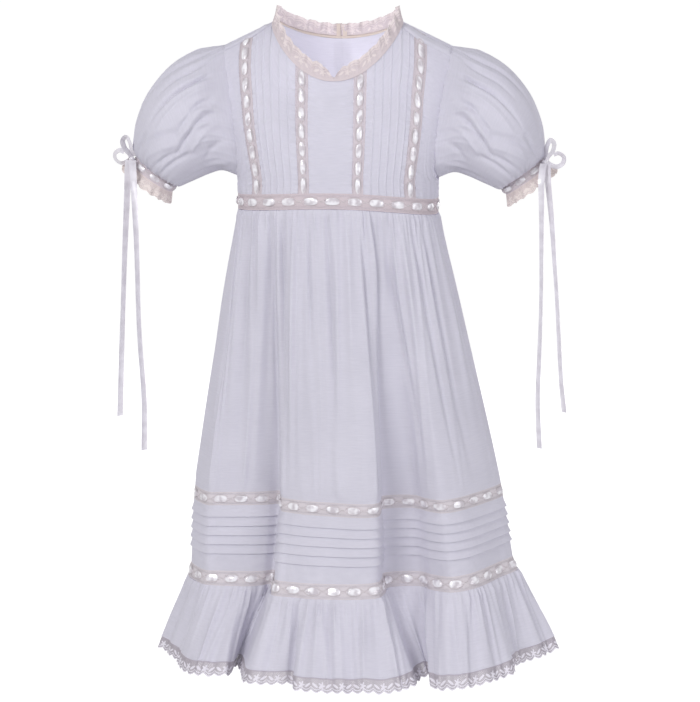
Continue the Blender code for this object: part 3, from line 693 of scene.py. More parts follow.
def neck(station, rise):
    """Return a point of the standing neck trim, above the neckline."""
    here = smooth(NECK_STATIONS, NECK_POINTS, station)
    inward = Vector((-here.x, -here.y, 0))
    lean = inward.normalized() * NECK_LEAN + Vector((0, 0, 1))
    return here + lean.normalized() * rise


# Distances along trims
class Ruler:
    """Turns a distance along a trim into its parameter there, from lengths measured on its middle line."""

    def __init__(self, middle_line, first, last, steps):
        self.at = spread(first, last, steps)
        self.length = lengths_along([middle_line(u) for u in self.at])
        self.total = self.length[-1]

    def parameter(self, distance):
        """Return the parameter at a distance from the start."""
        low = bisect.bisect_right(self.length, distance) - 1
        low = max(0, min(low, len(self.at) - 2))
        part = (distance - self.length[low]) / (self.length[low + 1] - self.length[low])
        return self.at[low] + part * (self.at[low + 1] - self.at[low])


# Small gathers at a seam
def gather_table(seed, last, spacing, rise, reach):
    """Return uneven gathers along a seam: place, rise (mm), half width (columns) and reach (mm)."""
    chance = random.Random(seed)
    table = []
    place = 0.0
    while place < last:
        table.append((
            place,
            rise * chance.uniform(0.35, 1.35),
            spacing * chance.uniform(0.24, 0.36),
            reach * chance.uniform(0.35, 1.7),
        ))
        place += spacing * chance.uniform(0.55, 1.5)
    return table


def gathered(table, place, below, start=6.0):
    """Return the rise of small gathers (mm) at a place, below their seam by so many mm."""
    low = bisect.bisect_left(table, (place,))
    opening = min(1.0, 0.25 + 0.75 * below / start)
    total = 0.0
    for k in range(max(0, low - 3), min(len(table), low + 3)):
        at, rise, half, reach = table[k]
        half *= 1 + 0.4 * below / reach
        total += rise * math.exp(-((place - at) / half) ** 2 - below / reach)
    return total * opening


# Making pieces
def shell(name, surface, across, along, look, chart=None, size=None, relief=None, lift=0.0,
          wall=CLOTH_WALL, closed=False, centre=None):
    """Make a thin cloth shell: a grid laid on a surface and raised by its relief, with a wall behind.

    across and along list the grid's parameters. The map is in metres: from chart, or spread over size.
    """
    bm = bmesh.new()
    place_in_map = bm.loops.layers.uv.new("map")
    spot = bm.verts.layers.float_vector.new("spot")
    bmesh.ops.create_grid(bm, x_segments=len(across) - 1, y_segments=len(along) - 1, size=0.5, calc_uvs=True)
    for vert in bm.verts:
        u = across[round((vert.co.x + 0.5) * (len(across) - 1))]
        v = along[round((vert.co.y + 0.5) * (len(along) - 1))]
        vert[spot] = (u, v, 0)
        vert.co = surface(u, v)
    for face in bm.faces:
        for loop in face.loops:
            u, v, _ = loop.vert[spot]
            if chart:
                loop[place_in_map].uv = chart(u, v)
            else:
                loop[place_in_map].uv = (loop[place_in_map].uv.x * size[0], loop[place_in_map].uv.y * size[1])
    if closed:
        bmesh.ops.remove_doubles(bm, verts=bm.verts, dist=1e-6)
    bm.normal_update()
    facing = 0.0
    for vert in bm.verts:
        inside = centre or Vector((0, 0, vert.co.z))
        facing += vert.normal.dot(vert.co - inside)
    if facing < 0:
        bmesh.ops.reverse_faces(bm, faces=bm.faces)
        bm.normal_update()
    for vert in bm.verts:
        u, v, _ = vert[spot]
        raised = relief(u, v) if relief else 0.0
        vert.co += vert.normal * (lift + raised * MM)
    return finish_piece(name, bm, look, wall)


def finish_piece(name, bm, look, wall):
    """Give an open sheet its thickness and turn it into a named object."""
    bm.normal_update()
    if wall:
        bmesh.ops.solidify(bm, geom=bm.faces, thickness=wall)
        # In a very sharp crease this can throw a vertex far out, and it goes back between its neighbours
        for vert in list(bm.verts) * 2:
            if min(edge.calc_length() for edge in vert.link_edges) > SPIKE:
                near = [edge.other_vert(vert).co for edge in vert.link_edges]
                vert.co = sum(near, Vector()) / len(near)
    mesh = bpy.data.meshes.new(name)
    bm.to_mesh(mesh)
    bm.free()
    mesh.shade_smooth()
    mesh.set_sharp_from_angle(angle=math.radians(SHARP_ANGLE))
    mesh.materials.append(look)
    piece = bpy.data.objects.new(name, mesh)
    bpy.context.scene.collection.objects.link(piece)
    return piece


def dress(piece, slot, *nodes):
    """Let a piece ride on the dress and stand for its solids; its slot is not used."""
    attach(piece, "root")
    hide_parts(*nodes)
    return piece


# Materials
def linear(text):
    """Turn an sRGB hex colour into linear red, green, blue and alpha."""
    parts = [int(text[k:k + 2], 16) / 255 for k in (1, 3, 5)]
    return [c / 12.92 if c <= 0.04045 else ((c + 0.055) / 1.055) ** 2.4 for c in parts] + [1.0]


def feed(tree, made, inputs):
    """Give a node's sockets their values or what they link from."""
    for socket, value in inputs.items():
        if isinstance(value, bpy.types.NodeSocket):
            tree.links.new(value, made.inputs[socket])
        else:
            made.inputs[socket].default_value = value


def node(tree, kind, inputs=None, **settings):
    """Add a node with its settings; inputs gives its sockets values or what they link from."""
    made = tree.nodes.new("ShaderNode" + kind)
    for name, value in settings.items():
        setattr(made, name, value)
    feed(tree, made, inputs or {})
    return made


def calculate(tree, operation, *values):
    """Return the result of an operation on numbers or outputs."""
    return node(tree, "Math", dict(enumerate(values)), operation=operation).outputs[0]


def noise(tree, where, size, detail=2.0):
    """Return soft uneven patches of about a size."""
    return node(tree, "TexNoise", {"Vector": where, "Scale": 1 / size, "Detail": detail}).outputs["Fac"]


def blend(tree, part, low, high):
    """Return a colour between two hex colours."""
    return node(tree, "Mix", {"Factor": part, 6: linear(low), 7: linear(high)}, data_type="RGBA").outputs[2]


def span(tree, value, first, last, start=0.0, end=1.0):
    """Return where a value stands between first and last, as a number from start to end."""
    limits = {"Value": value, "From Min": first, "From Max": last, "To Min": start, "To Max": end}
    return node(tree, "MapRange", limits).outputs[0]


def new_material(name):
    """Return a new node material, its tree and its main shader."""
    material = bpy.data.materials.new(name)
    material.use_nodes = True
    tree = material.node_tree
    return material, tree, tree.nodes["Principled BSDF"]


def cotton_batiste(name, colour, shade):
    """Make the finish of fine cotton: matt, a little see-through, with a faint uneven weave and slubs."""
    material, tree, shader = new_material(name)
    where = node(tree, "TexCoord").outputs["UV"]
    # Real threads lie 0.3 mm apart and would not show; these faint bands are 6 mm apart
    bands = {"Vector": where, "Scale": 50, "Distortion": 0.6, "Detail": 2.0}
    weave = [node(tree, "TexWave", bands, bands_direction=way).outputs["Fac"] for way in "XY"]
    stretch = node(tree, "Mapping", {"Vector": where, "Scale": (1, 9, 1)}).outputs[0]
    slubs = noise(tree, stretch, 12 * MM, 3.0)
    cloud = noise(tree, where, 60 * MM)
    cloth = blend(tree, span(tree, calculate(tree, "ADD", slubs, cloud), 0.6, 1.4), shade, colour)
    height = calculate(tree, "MULTIPLY_ADD", slubs, 0.8, calculate(tree, "ADD", *weave))
    bump = node(tree, "Bump", {"Height": height, "Strength": 0.25, "Distance": 0.08 * MM}).outputs[0]
    feed(tree, shader, {"Base Color": cloth, "Normal": bump, "Roughness": 0.88, "Specular IOR Level": 0.25,
                        "Sheen Weight": 0.15, "Sheen Roughness": 0.5})
    through = node(tree, "BsdfTranslucent", {"Color": cloth, "Normal": bump})
    both = node(tree, "MixShader", {0: 0.3, 1: shader.outputs[0], 2: through.outputs[0]})
    feed(tree, tree.nodes["Material Output"], {"Surface": both.outputs[0]})
    return material


def cotton_net(name, colour, worked, width, dense, holes, sprigs=False, scallop=0.0):
    """Make the finish of cotton lace: a net of small diamonds with closer work in it.

    The map runs along the lace and down its width, in metres. dense gives the (first, last) parts of
    the width that are close work, and scallop the length of one scallop of its free edge.
    """
    material, tree, shader = new_material(name)
    maths = functools.partial(calculate, tree)
    where = node(tree, "TexCoord").outputs["UV"]
    run, down, _ = node(tree, "SeparateXYZ", {0: where}).outputs

    def from_middle(x, y):
        flat = node(tree, "CombineXYZ", {0: x, 1: y}).outputs[0]
        return node(tree, "VectorMath", {0: flat}, operation="LENGTH").outputs["Value"]

    threads = [maths("PINGPONG", maths(way, run, down), NET_MESH / 2) for way in ("ADD", "SUBTRACT")]
    close = span(tree, maths("MINIMUM", *threads), NET_MESH * holes, NET_MESH * (holes + 0.08), 1.0, 0.0)
    for first, last in dense:
        below = maths("GREATER_THAN", down, first * width)
        above = maths("LESS_THAN", down, last * width)
        close = maths("MAXIMUM", close, maths("MULTIPLY", below, above))
    work = 0.0
    if sprigs:
        # Flower sprigs: five petals and a leaf at each side, once in two scallops
        repeat = 2 * scallop
        x = maths("SUBTRACT", maths("FLOORED_MODULO", run, repeat), repeat / 2)
        y = maths("SUBTRACT", down, 0.5 * width)
        petals = maths("COSINE", maths("MULTIPLY", maths("ARCTAN2", y, x), 5.0))
        flower = maths("LESS_THAN", from_middle(x, y), maths("MULTIPLY_ADD", petals, 1.1 * MM, 2.4 * MM))
        leaf_x = maths("MULTIPLY", maths("ADD", maths("ABSOLUTE", x), -6.6 * MM), 0.45)
        tilted = maths("MULTIPLY_ADD", leaf_x, 1.2, y)
        leaf = maths("LESS_THAN", from_middle(leaf_x, tilted), 1.3 * MM)
        work = maths("MAXIMUM", flower, leaf)
    if scallop:
        # Thick threads along the scalloped edge and one arch above it
        wave = maths("ABSOLUTE", maths("SINE", maths("MULTIPLY", run, math.pi / scallop)))
        edge = maths("MULTIPLY_ADD", wave, SCALLOP_DEPTH, width - SCALLOP_DEPTH)
        gap = maths("SUBTRACT", edge, down)
        arch = maths("LESS_THAN", maths("ABSOLUTE", maths("SUBTRACT", gap, 2.7 * MM)), 0.45 * MM)
        work = maths("MAXIMUM", work, maths("MAXIMUM", maths("LESS_THAN", gap, 1.1 * MM), arch))
    raised = maths("MULTIPLY_ADD", work, 2.0, close)
    height = maths("MULTIPLY_ADD", noise(tree, where, 2.5 * MM), 0.6, raised)
    bump = node(tree, "Bump", {"Height": height, "Strength": 0.5, "Distance": 0.15 * MM}).outputs[0]
    cover = maths("MAXIMUM", close, work)
    feed(tree, shader, {"Base Color": blend(tree, work, colour, worked), "Alpha": cover, "Normal": bump,
                        "Roughness": 0.8, "Specular IOR Level": 0.3})
    return material


def satin_ribbon(name, colour, painted_shade, patch):
    """Make the finish of woven satin: smooth floats of thread, with painted highlight and painted shade in
    patches about a patch long.
    """
    material, tree, shader = new_material(name)
    where = node(tree, "TexCoord").outputs["UV"]
    stretch = node(tree, "Mapping", {"Vector": where, "Scale": (0.08, 1, 1)}).outputs[0]
    floats = noise(tree, stretch, 0.8 * MM)
    bump = node(tree, "Bump", {"Height": floats, "Strength": 0.15, "Distance": 0.05 * MM}).outputs[0]
    # Painted highlight and painted shade: noise patches blend the ribbon from its darker shaded colour up to
    # its lighter highlight colour
    bright = span(tree, noise(tree, where, patch, 1.0), 0.38, 0.6)
    feed(tree, shader, {"Base Color": blend(tree, bright, painted_shade, colour), "Normal": bump, "Roughness": 0.22,
                        "Anisotropic": 0.4, "Specular IOR Level": 1.0, "Sheen Weight": 0.2})
    return material


def pearl_button():
    """Make the finish of a polished pearly plastic button."""
    material, tree, shader = new_material("polished pearl plastic")
    cloud = noise(tree, node(tree, "TexCoord").outputs["Object"], 4 * MM)
    feed(tree, shader, {"Base Color": blend(tree, cloud, "#D9D3CF", "#F1EEF0"), "Roughness": 0.22,
                        "Coat Weight": 0.3})
    return material


BATISTE = cotton_batiste("cotton batiste", "#E9E7F1", "#DFDDE8")
BINDING = cotton_batiste("cream cotton binding", "#EEE3DC", "#E5D8CF")
CORD = cotton_batiste("cream cotton cord", "#EBE5E8", "#DFD8DC")
BAND_LACE = cotton_net("cotton beading lace", "#CFC8CE", "#E0DBE0", BAND_HEIGHT * MM,
                       ((0, 0.07), (0.2, 0.8), (0.93, 1.0)), 0.25)
UPRIGHT_LACE = cotton_net("upright cotton beading lace", "#CBC1C8", "#E2DCDF", 12.5 * MM,
                          ((0, 0.08), (0.22, 0.78), (0.92, 1.0)), 0.25)
WAIST_LACE = cotton_net("waist cotton beading lace", "#C9BDC3", "#E0D9DC", WAIST_BAND,
                        ((0, 0.07), (0.22, 0.78), (0.93, 1.0)), 0.27)
# The net's darker grey is painted shade, as of threads in shadow over the dark inside; the worked parts keep
# the lace's lighter colour
HEM_FINISH = cotton_net("scalloped cotton edging lace", "#B8B1BB", "#E6E2EC", 13 * MM,
                        ((0, 0.08),), 0.25, True, SCALLOP)
NECK_FINISH = cotton_net("gathered cotton neck lace", "#D2C6CA", "#E0D5D6", NECK_BINDING + NECK_LACE,
                         ((0, 0.12),), 0.34, True, NECK_SCALLOP)
CUFF_FINISH = cotton_net("gathered cotton cuff lace", "#D8CBCA", "#E6DBD8", CUFF_LACE,
                         ((0, 0.12),), 0.3, True, 8 * MM)
# In both ribbons the darker colour is painted shade, and the lighter one shows as painted highlight in the
# bright patches
SATIN = satin_ribbon("white satin ribbon", "#E9E6ED", "#DCD8E0", 12 * MM)
THREADED_SATIN = satin_ribbon("white satin ribbon seen in lace", "#F0EEF4", "#C5BEC6", 7 * MM)
PEARL = pearl_button()


# Bodice
def upright_tuck(s):
    """Return the rise of the pin tucks (mm) across a tucked panel: narrow ridges, steeper on one side."""
    spaced = s * (FRONT_TUCKS + TUCK_ROOM) - FIRST_CREST
    nearest = math.floor(spaced)
    if spaced - nearest > 0.5:
        nearest += 1
    if nearest < 0 or nearest >= FRONT_TUCKS:
        return 0.0
    behind = nearest - spaced
    if behind >= 0:
        return TUCK_RISE * max(0.0, 1 - behind / TUCK_BACK) ** 1.5
    return TUCK_RISE * max(0.0, 1 + behind / TUCK_FACE)


def tuck_columns():
    """Return the columns of a tucked panel, close together at each tuck's step."""
    columns = [0.0]
    for k in range(FRONT_TUCKS):
        crest = (k + FIRST_CREST) / (FRONT_TUCKS + TUCK_ROOM)
        columns += [crest + step for step in (-0.07, -0.036, -0.026, -0.016, -0.008, 0, 0.012, 0.025, 0.05)]
    columns.append(1.0)
    return columns


def puckers(s, t, length):
    """Return the small sideways puckers (mm) that sewing leaves beside an upright seam."""
    from_seam = min(s, 1 - s)
    wave = math.sin(2 * math.pi * t * length / PUCKER_LENGTH + 3 * math.sin(t * 9)) * math.sin(t * 31 + 2)
    return PUCKER_RISE * wave * math.exp(-from_seam / PUCKER_REACH)


def back_columns():
    """Return the columns of a back, with some close together at the neck's corner."""
    span = side_edge(SHOULDER_SEAM) - 2 * SEAM_TURN
    turns = spread(0, NECK_CORNER - 1.2, 30)
    turns += spread(NECK_CORNER - 0.9, NECK_CORNER + 0.9, 6)
    turns += spread(NECK_CORNER + 1.2, span, 40)
    return [turn / span for turn in turns]


def make_bodice():
    """Make the front panels, their beadings and ribbons, and the two backs."""
    beadings = {
        "outer_left": beading_edges(OUTER_LEFT),
        "inner_left": beading_edges(INNER_LEFT),
        "inner_right": beading_edges(INNER_RIGHT),
        "outer_right": beading_edges(OUTER_RIGHT),
    }
    outer_left, inner_left, inner_right, outer_right = beadings.values()
    gathers = gather_table(3, 1.0, 0.16, 1.3, 0.2)

    def plain(s, t):
        return puckers(s, t, 110)

    def side(s, t):
        return puckers(s, t, 130) + gathered(gathers, s, t, 0.04) * 0.9

    def tucked_right(s, t):
        return upright_tuck(s) + puckers(s, t, 120)

    def tucked_left(s, t):
        return upright_tuck(1 - s) + puckers(s, t, 120)

    rows = spread(0, 1, 110)
    even = spread(0, 1, 40)
    tucks = tuck_columns()
    tucks_back = [1 - s for s in reversed(tucks)]
    panels = (
        ("side_front_left", "left side", outer_left[0], even, side, (57, 115), 0.0043),
        ("tucked_panel_left", outer_left[1], inner_left[0], tucks_back, tucked_left, (68, 150), 0.0088),
        ("centre_front", inner_left[1], inner_right[0], even, plain, (55, 106), 0.0053),
        ("tucked_panel_right", inner_right[1], outer_right[0], tucks, tucked_right, (68, 150), 0.0086),
        ("side_front_right", outer_right[1], "right side", even, side, (60, 130), 0.0051),
    )
    for name, left, right, columns, relief, size, area in panels:
        left = left if left == "left side" else shifted(left, SEAM_TURN)
        right = right if right == "right side" else shifted(right, -SEAM_TURN)
        flat = [length * MM for length in size]
        piece = shell("cloth_" + name, bodice_panel(-1, left, right), columns, rows, BATISTE, size=flat,
                      relief=relief)
        dress(piece, "cotton_batiste", name)

    for name, (left, right) in beadings.items():
        make_upright_beading(name, bodice_panel(-1, left, right))

    # The turned edges of the shoulder seams lie over the tops of the outer beadings
    corner = NECK_CORNER + 1.0
    for name, left, right, start, area in (
        ("left", "left side", (-corner, -corner), 0.955, 0.0005),
        ("right", (corner, corner), "right side", 0.925, 0.0007),
    ):
        flat = (0.068, 0.012)

        def turning_relief(s, t, start=start):
            part = (t - start) / (TURNING_END - start)
            return TURNING_RISE * min(1.0, 5 * part, 3 * (1 - part)) * min(1.0, 12 * s, 12 * (1 - s))

        piece = shell("cloth_shoulder_turning_" + name, bodice_panel(-1, left, right), spread(0, 1, 60),
                      spread(start, TURNING_END, 12), BATISTE, size=flat, relief=turning_relief,
                      lift=0.25 * MM, wall=0.2 * MM)
        dress(piece, "cotton_batiste", "side_front_" + name)

    middle = 0.01
    back_gathers = gather_table(9, 1.0, 0.14, 1.2, 0.15)
    for name, hand in (("back_left", -1), ("back_right", 1)):
        def surface(s, t, hand=hand):
            way = bodice_way(middle + s * (side_edge(SHOULDER_SEAM) - SEAM_TURN - middle), 1, t)
            turn = middle + s * (side_edge(way) - SEAM_TURN - middle)
            return torso(hand * turn, way, 1)

        def relief(s, t):
            return gathered(back_gathers, s, t, 0.03) * 0.8 * min(1, s / 0.1)

        flat = (0.15, 0.19)
        piece = shell("cloth_" + name, surface, back_columns(), spread(0, 1, 80), BATISTE, size=flat,
                      relief=relief)
        dress(piece, "cotton_batiste", name)


def make_beading(name, surface, along, low, high, ribbon_width, lace, nodes, flat, repeat=BEADING_REPEAT,
                 step=BEADING_STEP["front"], centre=None, eye_half=EYE_HALF):
    """Make a lace beading, the ribbon that shows in its oval eyes, and the two cords that cross on its bars.

    surface gives a point at a place along the beading and a height between low and high. along holds
    the first place, the last one and the steps between. None in flat stands for the measured length.
    """
    middle = (low + high) / 2
    ruler = Ruler(lambda place: surface(place, middle), *along)
    total = ruler.total
    flat = tuple(size or round(total, 3) for size in flat)
    repeat = total / round(total / repeat)
    eye = eye_half * repeat
    bar = 0.5 / eye_half
    distances = spread(0, total, round(total / step))
    sign = 1 if high > low else -1
    half = ribbon_width / 2
    beading_node, ribbon_node = nodes

    def band(d, height):
        return surface(ruler.parameter(d), height)

    def from_eye(d):
        """Return how far a distance is from the middle of its eye: 1 at the eye's end, more on the bar."""
        return ((d / repeat) % 1 - 0.5) * repeat / eye

    def opening(d):
        return math.sqrt(max(0.0, 1 - from_eye(d) ** 2))

    def calm(d):
        """Return how far the relief has risen from the trim's ends, where it is sewn flat."""
        return min(1.0, (0.5 * MM + min(d, total - d)) / (7 * MM))

    def lace_relief(d, h):
        across = abs(h - middle) / (half + 1 * MM)
        return BAR_RISE * calm(d) * (1 - opening(d)) * max(0.0, 1 - across ** 3)

    piece = shell("lace_" + name, band, distances, spread(high, low, 8), lace,
                  chart=lambda d, h: (d, abs(high - h)), relief=lace_relief, wall=LACE_WALL, centre=centre)
    dress(piece, "cotton_lace", beading_node)

    def ribbon_surface(d, part):
        return band(d, middle + sign * part * half * (0.3 + 0.7 * opening(d)))

    def ribbon_relief(d, part):
        number = math.floor(d / repeat)
        puff = PUFF + PUFF_CHANGE * math.sin(2.3 * number + 1)
        lean = PUFF_SLOPE * math.sin(3.7 * number + 2) * from_eye(d)
        return calm(d) * opening(d) ** 0.7 * (puff + lean) * (1 - 0.4 * part * part)

    piece = shell("ribbon_" + name, ribbon_surface, distances, spread(-1, 1, 4), THREADED_SATIN,
                  chart=lambda d, part: (d, part * half), relief=ribbon_relief, lift=0.2 * MM,
                  wall=RIBBON_WALL, centre=centre)
    dress(piece, "satin_ribbon", ribbon_node)

    reach = half + 0.3 * MM
    for number, hand in enumerate((-1, 1), 1):
        def cord_surface(d, part, hand=hand):
            over = 1 if math.floor(d / repeat) % 2 else -1
            crossing = min(1.0, (bar - abs(from_eye(d))) / (bar - 1))
            height = hand * over * reach * (0.4 * crossing + 0.6 * opening(d))
            return band(d, middle + sign * (height + part * CORD_HALF))

        def cord_relief(d, part):
            return calm(d) * (1.0 + 0.3 * (1 - opening(d)) - 0.3 * part * part)

        piece = shell(f"cord_{number}_{name}", cord_surface, distances, spread(-1, 1, 2), CORD,
                      chart=lambda d, part: (d, part * CORD_HALF), relief=cord_relief, wall=CORD_HALF,
                      centre=centre)
        dress(piece, "cotton_lace", beading_node)


def make_upright_beading(name, panel):
    """Make an upright beading of the bodice."""
    half = UPRIGHT_BEADING / 2

    def surface(t, across):
        return panel(0.5 + across / UPRIGHT_BEADING, t)

    make_beading("upright_" + name, surface, (0.0, 1.0, 200), -half, half, UPRIGHT_RIBBON, UPRIGHT_LACE,
                 ("beading_" + name, "ribbon_" + name), (0.0125, None), UPRIGHT_REPEAT,
                 eye_half=UPRIGHT_EYE_HALF)


def make_waist():
    """Make the waist beading and its ribbon, front and back."""
    for half, side in (("front", -1), ("back", 1)):
        make_beading("waist_" + half, waist_surface(side), (-90, 90, 400), -WAIST_BAND, 0.0, RIBBON,
                     WAIST_LACE, ("waist_beading_" + half, "waist_ribbon_" + half), (None, WAIST_BAND),
                     step=BEADING_STEP[half])


# Skirt
WAIST_GATHERS = gather_table(21, COLUMNS, 0.9, 2.4, 50)
SOFT_FOLDS = gather_table(13, COLUMNS, 1.4, 2.5, 480)
RUFFLE_GATHERS = gather_table(5, COLUMNS, 0.6, 3.0, 34)
RUFFLE_FOLDS = gather_table(17, COLUMNS, 1.2, 3.4, 150)
HALVES = (("front", 0, RIGHT_SIDE), ("back", RIGHT_SIDE, COLUMNS))


def fold_rise(rise, part, away):
    """Return the rise of a soft fold at a part of its length, so many half widths from its line."""
    if part <= 0 or part >= 1 or abs(away) > FOLD_REACH:
        return 0.0
    return rise * math.sin(math.pi * part ** 0.6) * math.exp(-away * away)


def long_fold_rise(place, below):
    """Return the rise of the long folds (mm) at a column, so many mm below the waist."""
    total = 0.0
    for top, bottom, start, end, rise, half in LONG_FOLDS:
        line = top + (bottom - top) * below / 300
        total += fold_rise(2.0 * rise, (below - start) / (end - start), (place - line) / half)
    return total


def seam_ease(place):
    """Return how far the relief has risen from the side seams, where front and back are sewn together."""
    return min(1.0, 4 * min(place, abs(place - RIGHT_SIDE), COLUMNS - place))


def upper_skirt_relief(place, height):
    """Return the rise (mm) of the upper skirt's gathers and folds."""
    below = SKIRT_TOP - height
    above_band = height - UPPER_BAND
    ease = min(1.0, above_band / 12)
    wandered = place + 0.35 * math.sin(below / 55 + place)
    small = gathered(WAIST_GATHERS, place, below) + gathered(SOFT_FOLDS, wandered, below, 60)
    return (small + long_fold_rise(place, below)) * ease * seam_ease(place)


def tucked_relief(place, height):
    """Return the rise (mm) of the flat tucks: each lies over the next, with a sharp lower edge."""
    below = UPPER_BAND - BAND_HEIGHT - height
    wander = 0.25 * math.sin(place * 1.7) + 0.15 * math.sin(place * 4.1 + 1)
    for k in range(SKIRT_TUCKS):
        edge = FIRST_TUCK + k * TUCK_STEP
        start = edge - TUCK_STEP * TUCK_COVER
        if start < below <= edge:
            return FLAT_TUCK_RISE * ((below - start) / (edge - start)) ** 1.3 + 0.1 * wander
    return 0.1 * wander


def tucked_rows():
    """Return the heights of the tucked band's rows, close together at each tuck's lower edge."""
    top = UPPER_BAND - BAND_HEIGHT
    rows = [top, top - 2]
    for k in range(SKIRT_TUCKS):
        edge = top - FIRST_TUCK - k * TUCK_STEP
        rows += [edge + TUCK_STEP * TUCK_COVER, edge + 5, edge + 3, edge + 1.2, edge + 0.01, edge - 0.35]
    rows += [LOWER_BAND + 3, LOWER_BAND]
    return rows


def ruffle_relief(place, height):
    """Return the rise (mm) of the ruffle's gathers, and of the small waves that reach the lace."""
    below = LOWER_BAND - BAND_HEIGHT - height
    waves = RUFFLE_WAVE * math.cos(math.pi * place + math.sin(0.7 * place))
    waves += RUFFLE_RIPPLE * math.cos(2.3 * place + 0.7)
    rolled = ROLLED_EDGE * math.exp(-((height - HEM) / 0.9) ** 2)
    wandered = place + 0.012 * below * math.sin(2.1 * place)
    gathers = gathered(RUFFLE_GATHERS, place, below, 7) + gathered(RUFFLE_FOLDS, wandered, below, 40)
    return (gathers + waves * min(1.0, below / 30)) * seam_ease(place) + rolled


def make_skirt():
    """Make the tiers from the waist to the hem lace."""
    tucked = ruled(UPPER_BAND - BAND_HEIGHT, LOWER_BAND)
    ruffle_rows = spread(LOWER_BAND - BAND_HEIGHT, HEM + 3, 38) + [HEM + 2, HEM + 1, HEM]
    tiers = (
        ("upper_skirt", skirt, spread(SKIRT_TOP, UPPER_BAND, 105), 7.0, upper_skirt_relief,
         ((0.40, 0.31), (0.37, 0.31))),
        ("tucked_band", tucked, tucked_rows(), 6.0, tucked_relief, ((0.46, 0.10), (0.42, 0.10))),
        ("ruffle", skirt, ruffle_rows, 8.0, ruffle_relief, ((0.66, 0.075), (0.61, 0.075))),
    )
    for name, surface, rows, close, relief, sizes in tiers:
        for (half, first, last), size in zip(HALVES, sizes):
            fine = close if half == "front" else close * 0.8
            columns = spread(first, last, round((last - first) * fine))
            piece = shell(f"cloth_{name}_{half}", surface, columns, rows, BATISTE, size=size, relief=relief)
            dress(piece, "cotton_batiste", f"{name}_{half}")

    for half, first, last in HALVES:
        for name, top in (("upper", UPPER_BAND), ("lower", LOWER_BAND)):
            def surface(place, height, strip=ruled(top, top - BAND_HEIGHT)):
                return strip(place, height / MM)

            make_beading(f"{name}_{half}", surface, (first, last, 900), (top - BAND_HEIGHT) * MM, top * MM,
                         RIBBON, BAND_LACE, (f"{name}_beading_{half}", f"{name}_ribbon_{half}"),
                         (None, BAND_HEIGHT * MM), step=BEADING_STEP[half])
        make_hem_lace(half, first, last)


def scalloped(length, height, depth):
    """Return a function for how far down a scalloped lace a part of its height is, at a distance along."""
    return lambda distance, part: part * (height - depth * (1 - abs(math.sin(math.pi * distance / length))))


def make_hem_lace(half, first, last):
    """Make half of the scalloped lace on the hem."""
    ruler = Ruler(lambda place: skirt(place, HEM - 6), first, last, 900)
    down = scalloped(SCALLOP, (HEM - LACE_BOTTOM) * MM, SCALLOP_DEPTH)

    def surface(distance, part):
        return skirt(ruler.parameter(distance), HEM - down(distance, part) / MM)

    def relief(distance, part):
        return ruffle_relief(ruler.parameter(distance), HEM - 3 - down(distance, part) / MM)

    distances = spread(0, ruler.total, round(ruler.total / (1.3 * MM)))
    piece = shell("lace_hem_" + half, surface, distances, spread(0, 1, 6), HEM_FINISH,
                  chart=lambda d, part: (d, down(d, part)), relief=relief, wall=LACE_WALL)
    dress(piece, "cotton_lace", "hem_lace_" + half)


# Neck trim
def make_neck():
    """Make the neck's binding and its gathered standing lace, which dips at the centre front."""
    start = 1.2 * MM
    edge = start + 1.6 * MM
    ruler = Ruler(lambda u: neck(u, start), 0, NECK_STATIONS[-1], 600)
    overlap = 2 * MM
    front = ruler.total / 2
    distances = spread(-overlap, ruler.total + overlap, 460)

    def surface(distance, rise):
        return neck(ruler.parameter(distance), rise)

    def as_it_lies(distance, rise):
        return distance, rise

    def rounded(distance, rise):
        return 0.5 * math.sin(math.pi * rise / edge)

    piece = shell("neck_edge", surface, distances, spread(0, edge, 4), BINDING, chart=as_it_lies,
                  relief=rounded, wall=0.8 * MM)
    dress(piece, "cotton_lace", "neck_binding")

    # The lace's two ends at the back opening are bound inside
    for name, first in (("left", 0), ("right", ruler.total - NECK_END)):
        piece = shell("neck_end_" + name, surface, spread(first, first + NECK_END, 4),
                      spread(0, NECK_LACE_TOP - 0.5 * MM, 8), BINDING, chart=as_it_lies, wall=0.5 * MM)
        dress(piece, "cotton_lace", "neck_binding")

    def up(distance, part):
        wave = abs(math.sin(math.pi * distance / NECK_SCALLOP))
        dip = math.exp(-((distance - front) / (7 * MM)) ** 2)
        ruffled = 0.3 + 0.7 * math.exp(-((distance - front) / (80 * MM)) ** 2)
        return part * (NECK_LACE_TOP * (1 - 0.7 * dip) - NECK_SCALLOP_DEPTH * ruffled * (1 - wave ** 0.6))

    def standing(distance, part):
        return surface(distance, NECK_LACE_FOOT + up(distance, part))

    def frill(distance, part):
        d = distance / MM
        wave = math.cos(d * 0.36 + 1.5 * math.sin(d * 0.045)) + 0.45 * math.cos(d * 0.83 + 2)
        return NECK_FRILL * part ** 1.3 * wave

    piece = shell("lace_neck", standing, distances, spread(0, 1, 9), NECK_FINISH,
                  chart=lambda d, part: (d, up(d, part)), relief=frill, lift=0.9 * MM, wall=LACE_WALL)
    dress(piece, "cotton_lace", "neck_lace")


# Sleeves
SLEEVE_HEAD = gather_table(31, 360.0, 7.5, 3.2, 0.8)
SLEEVE_WRIST = gather_table(32, 360.0, 8.5, 3.0, 1.0)
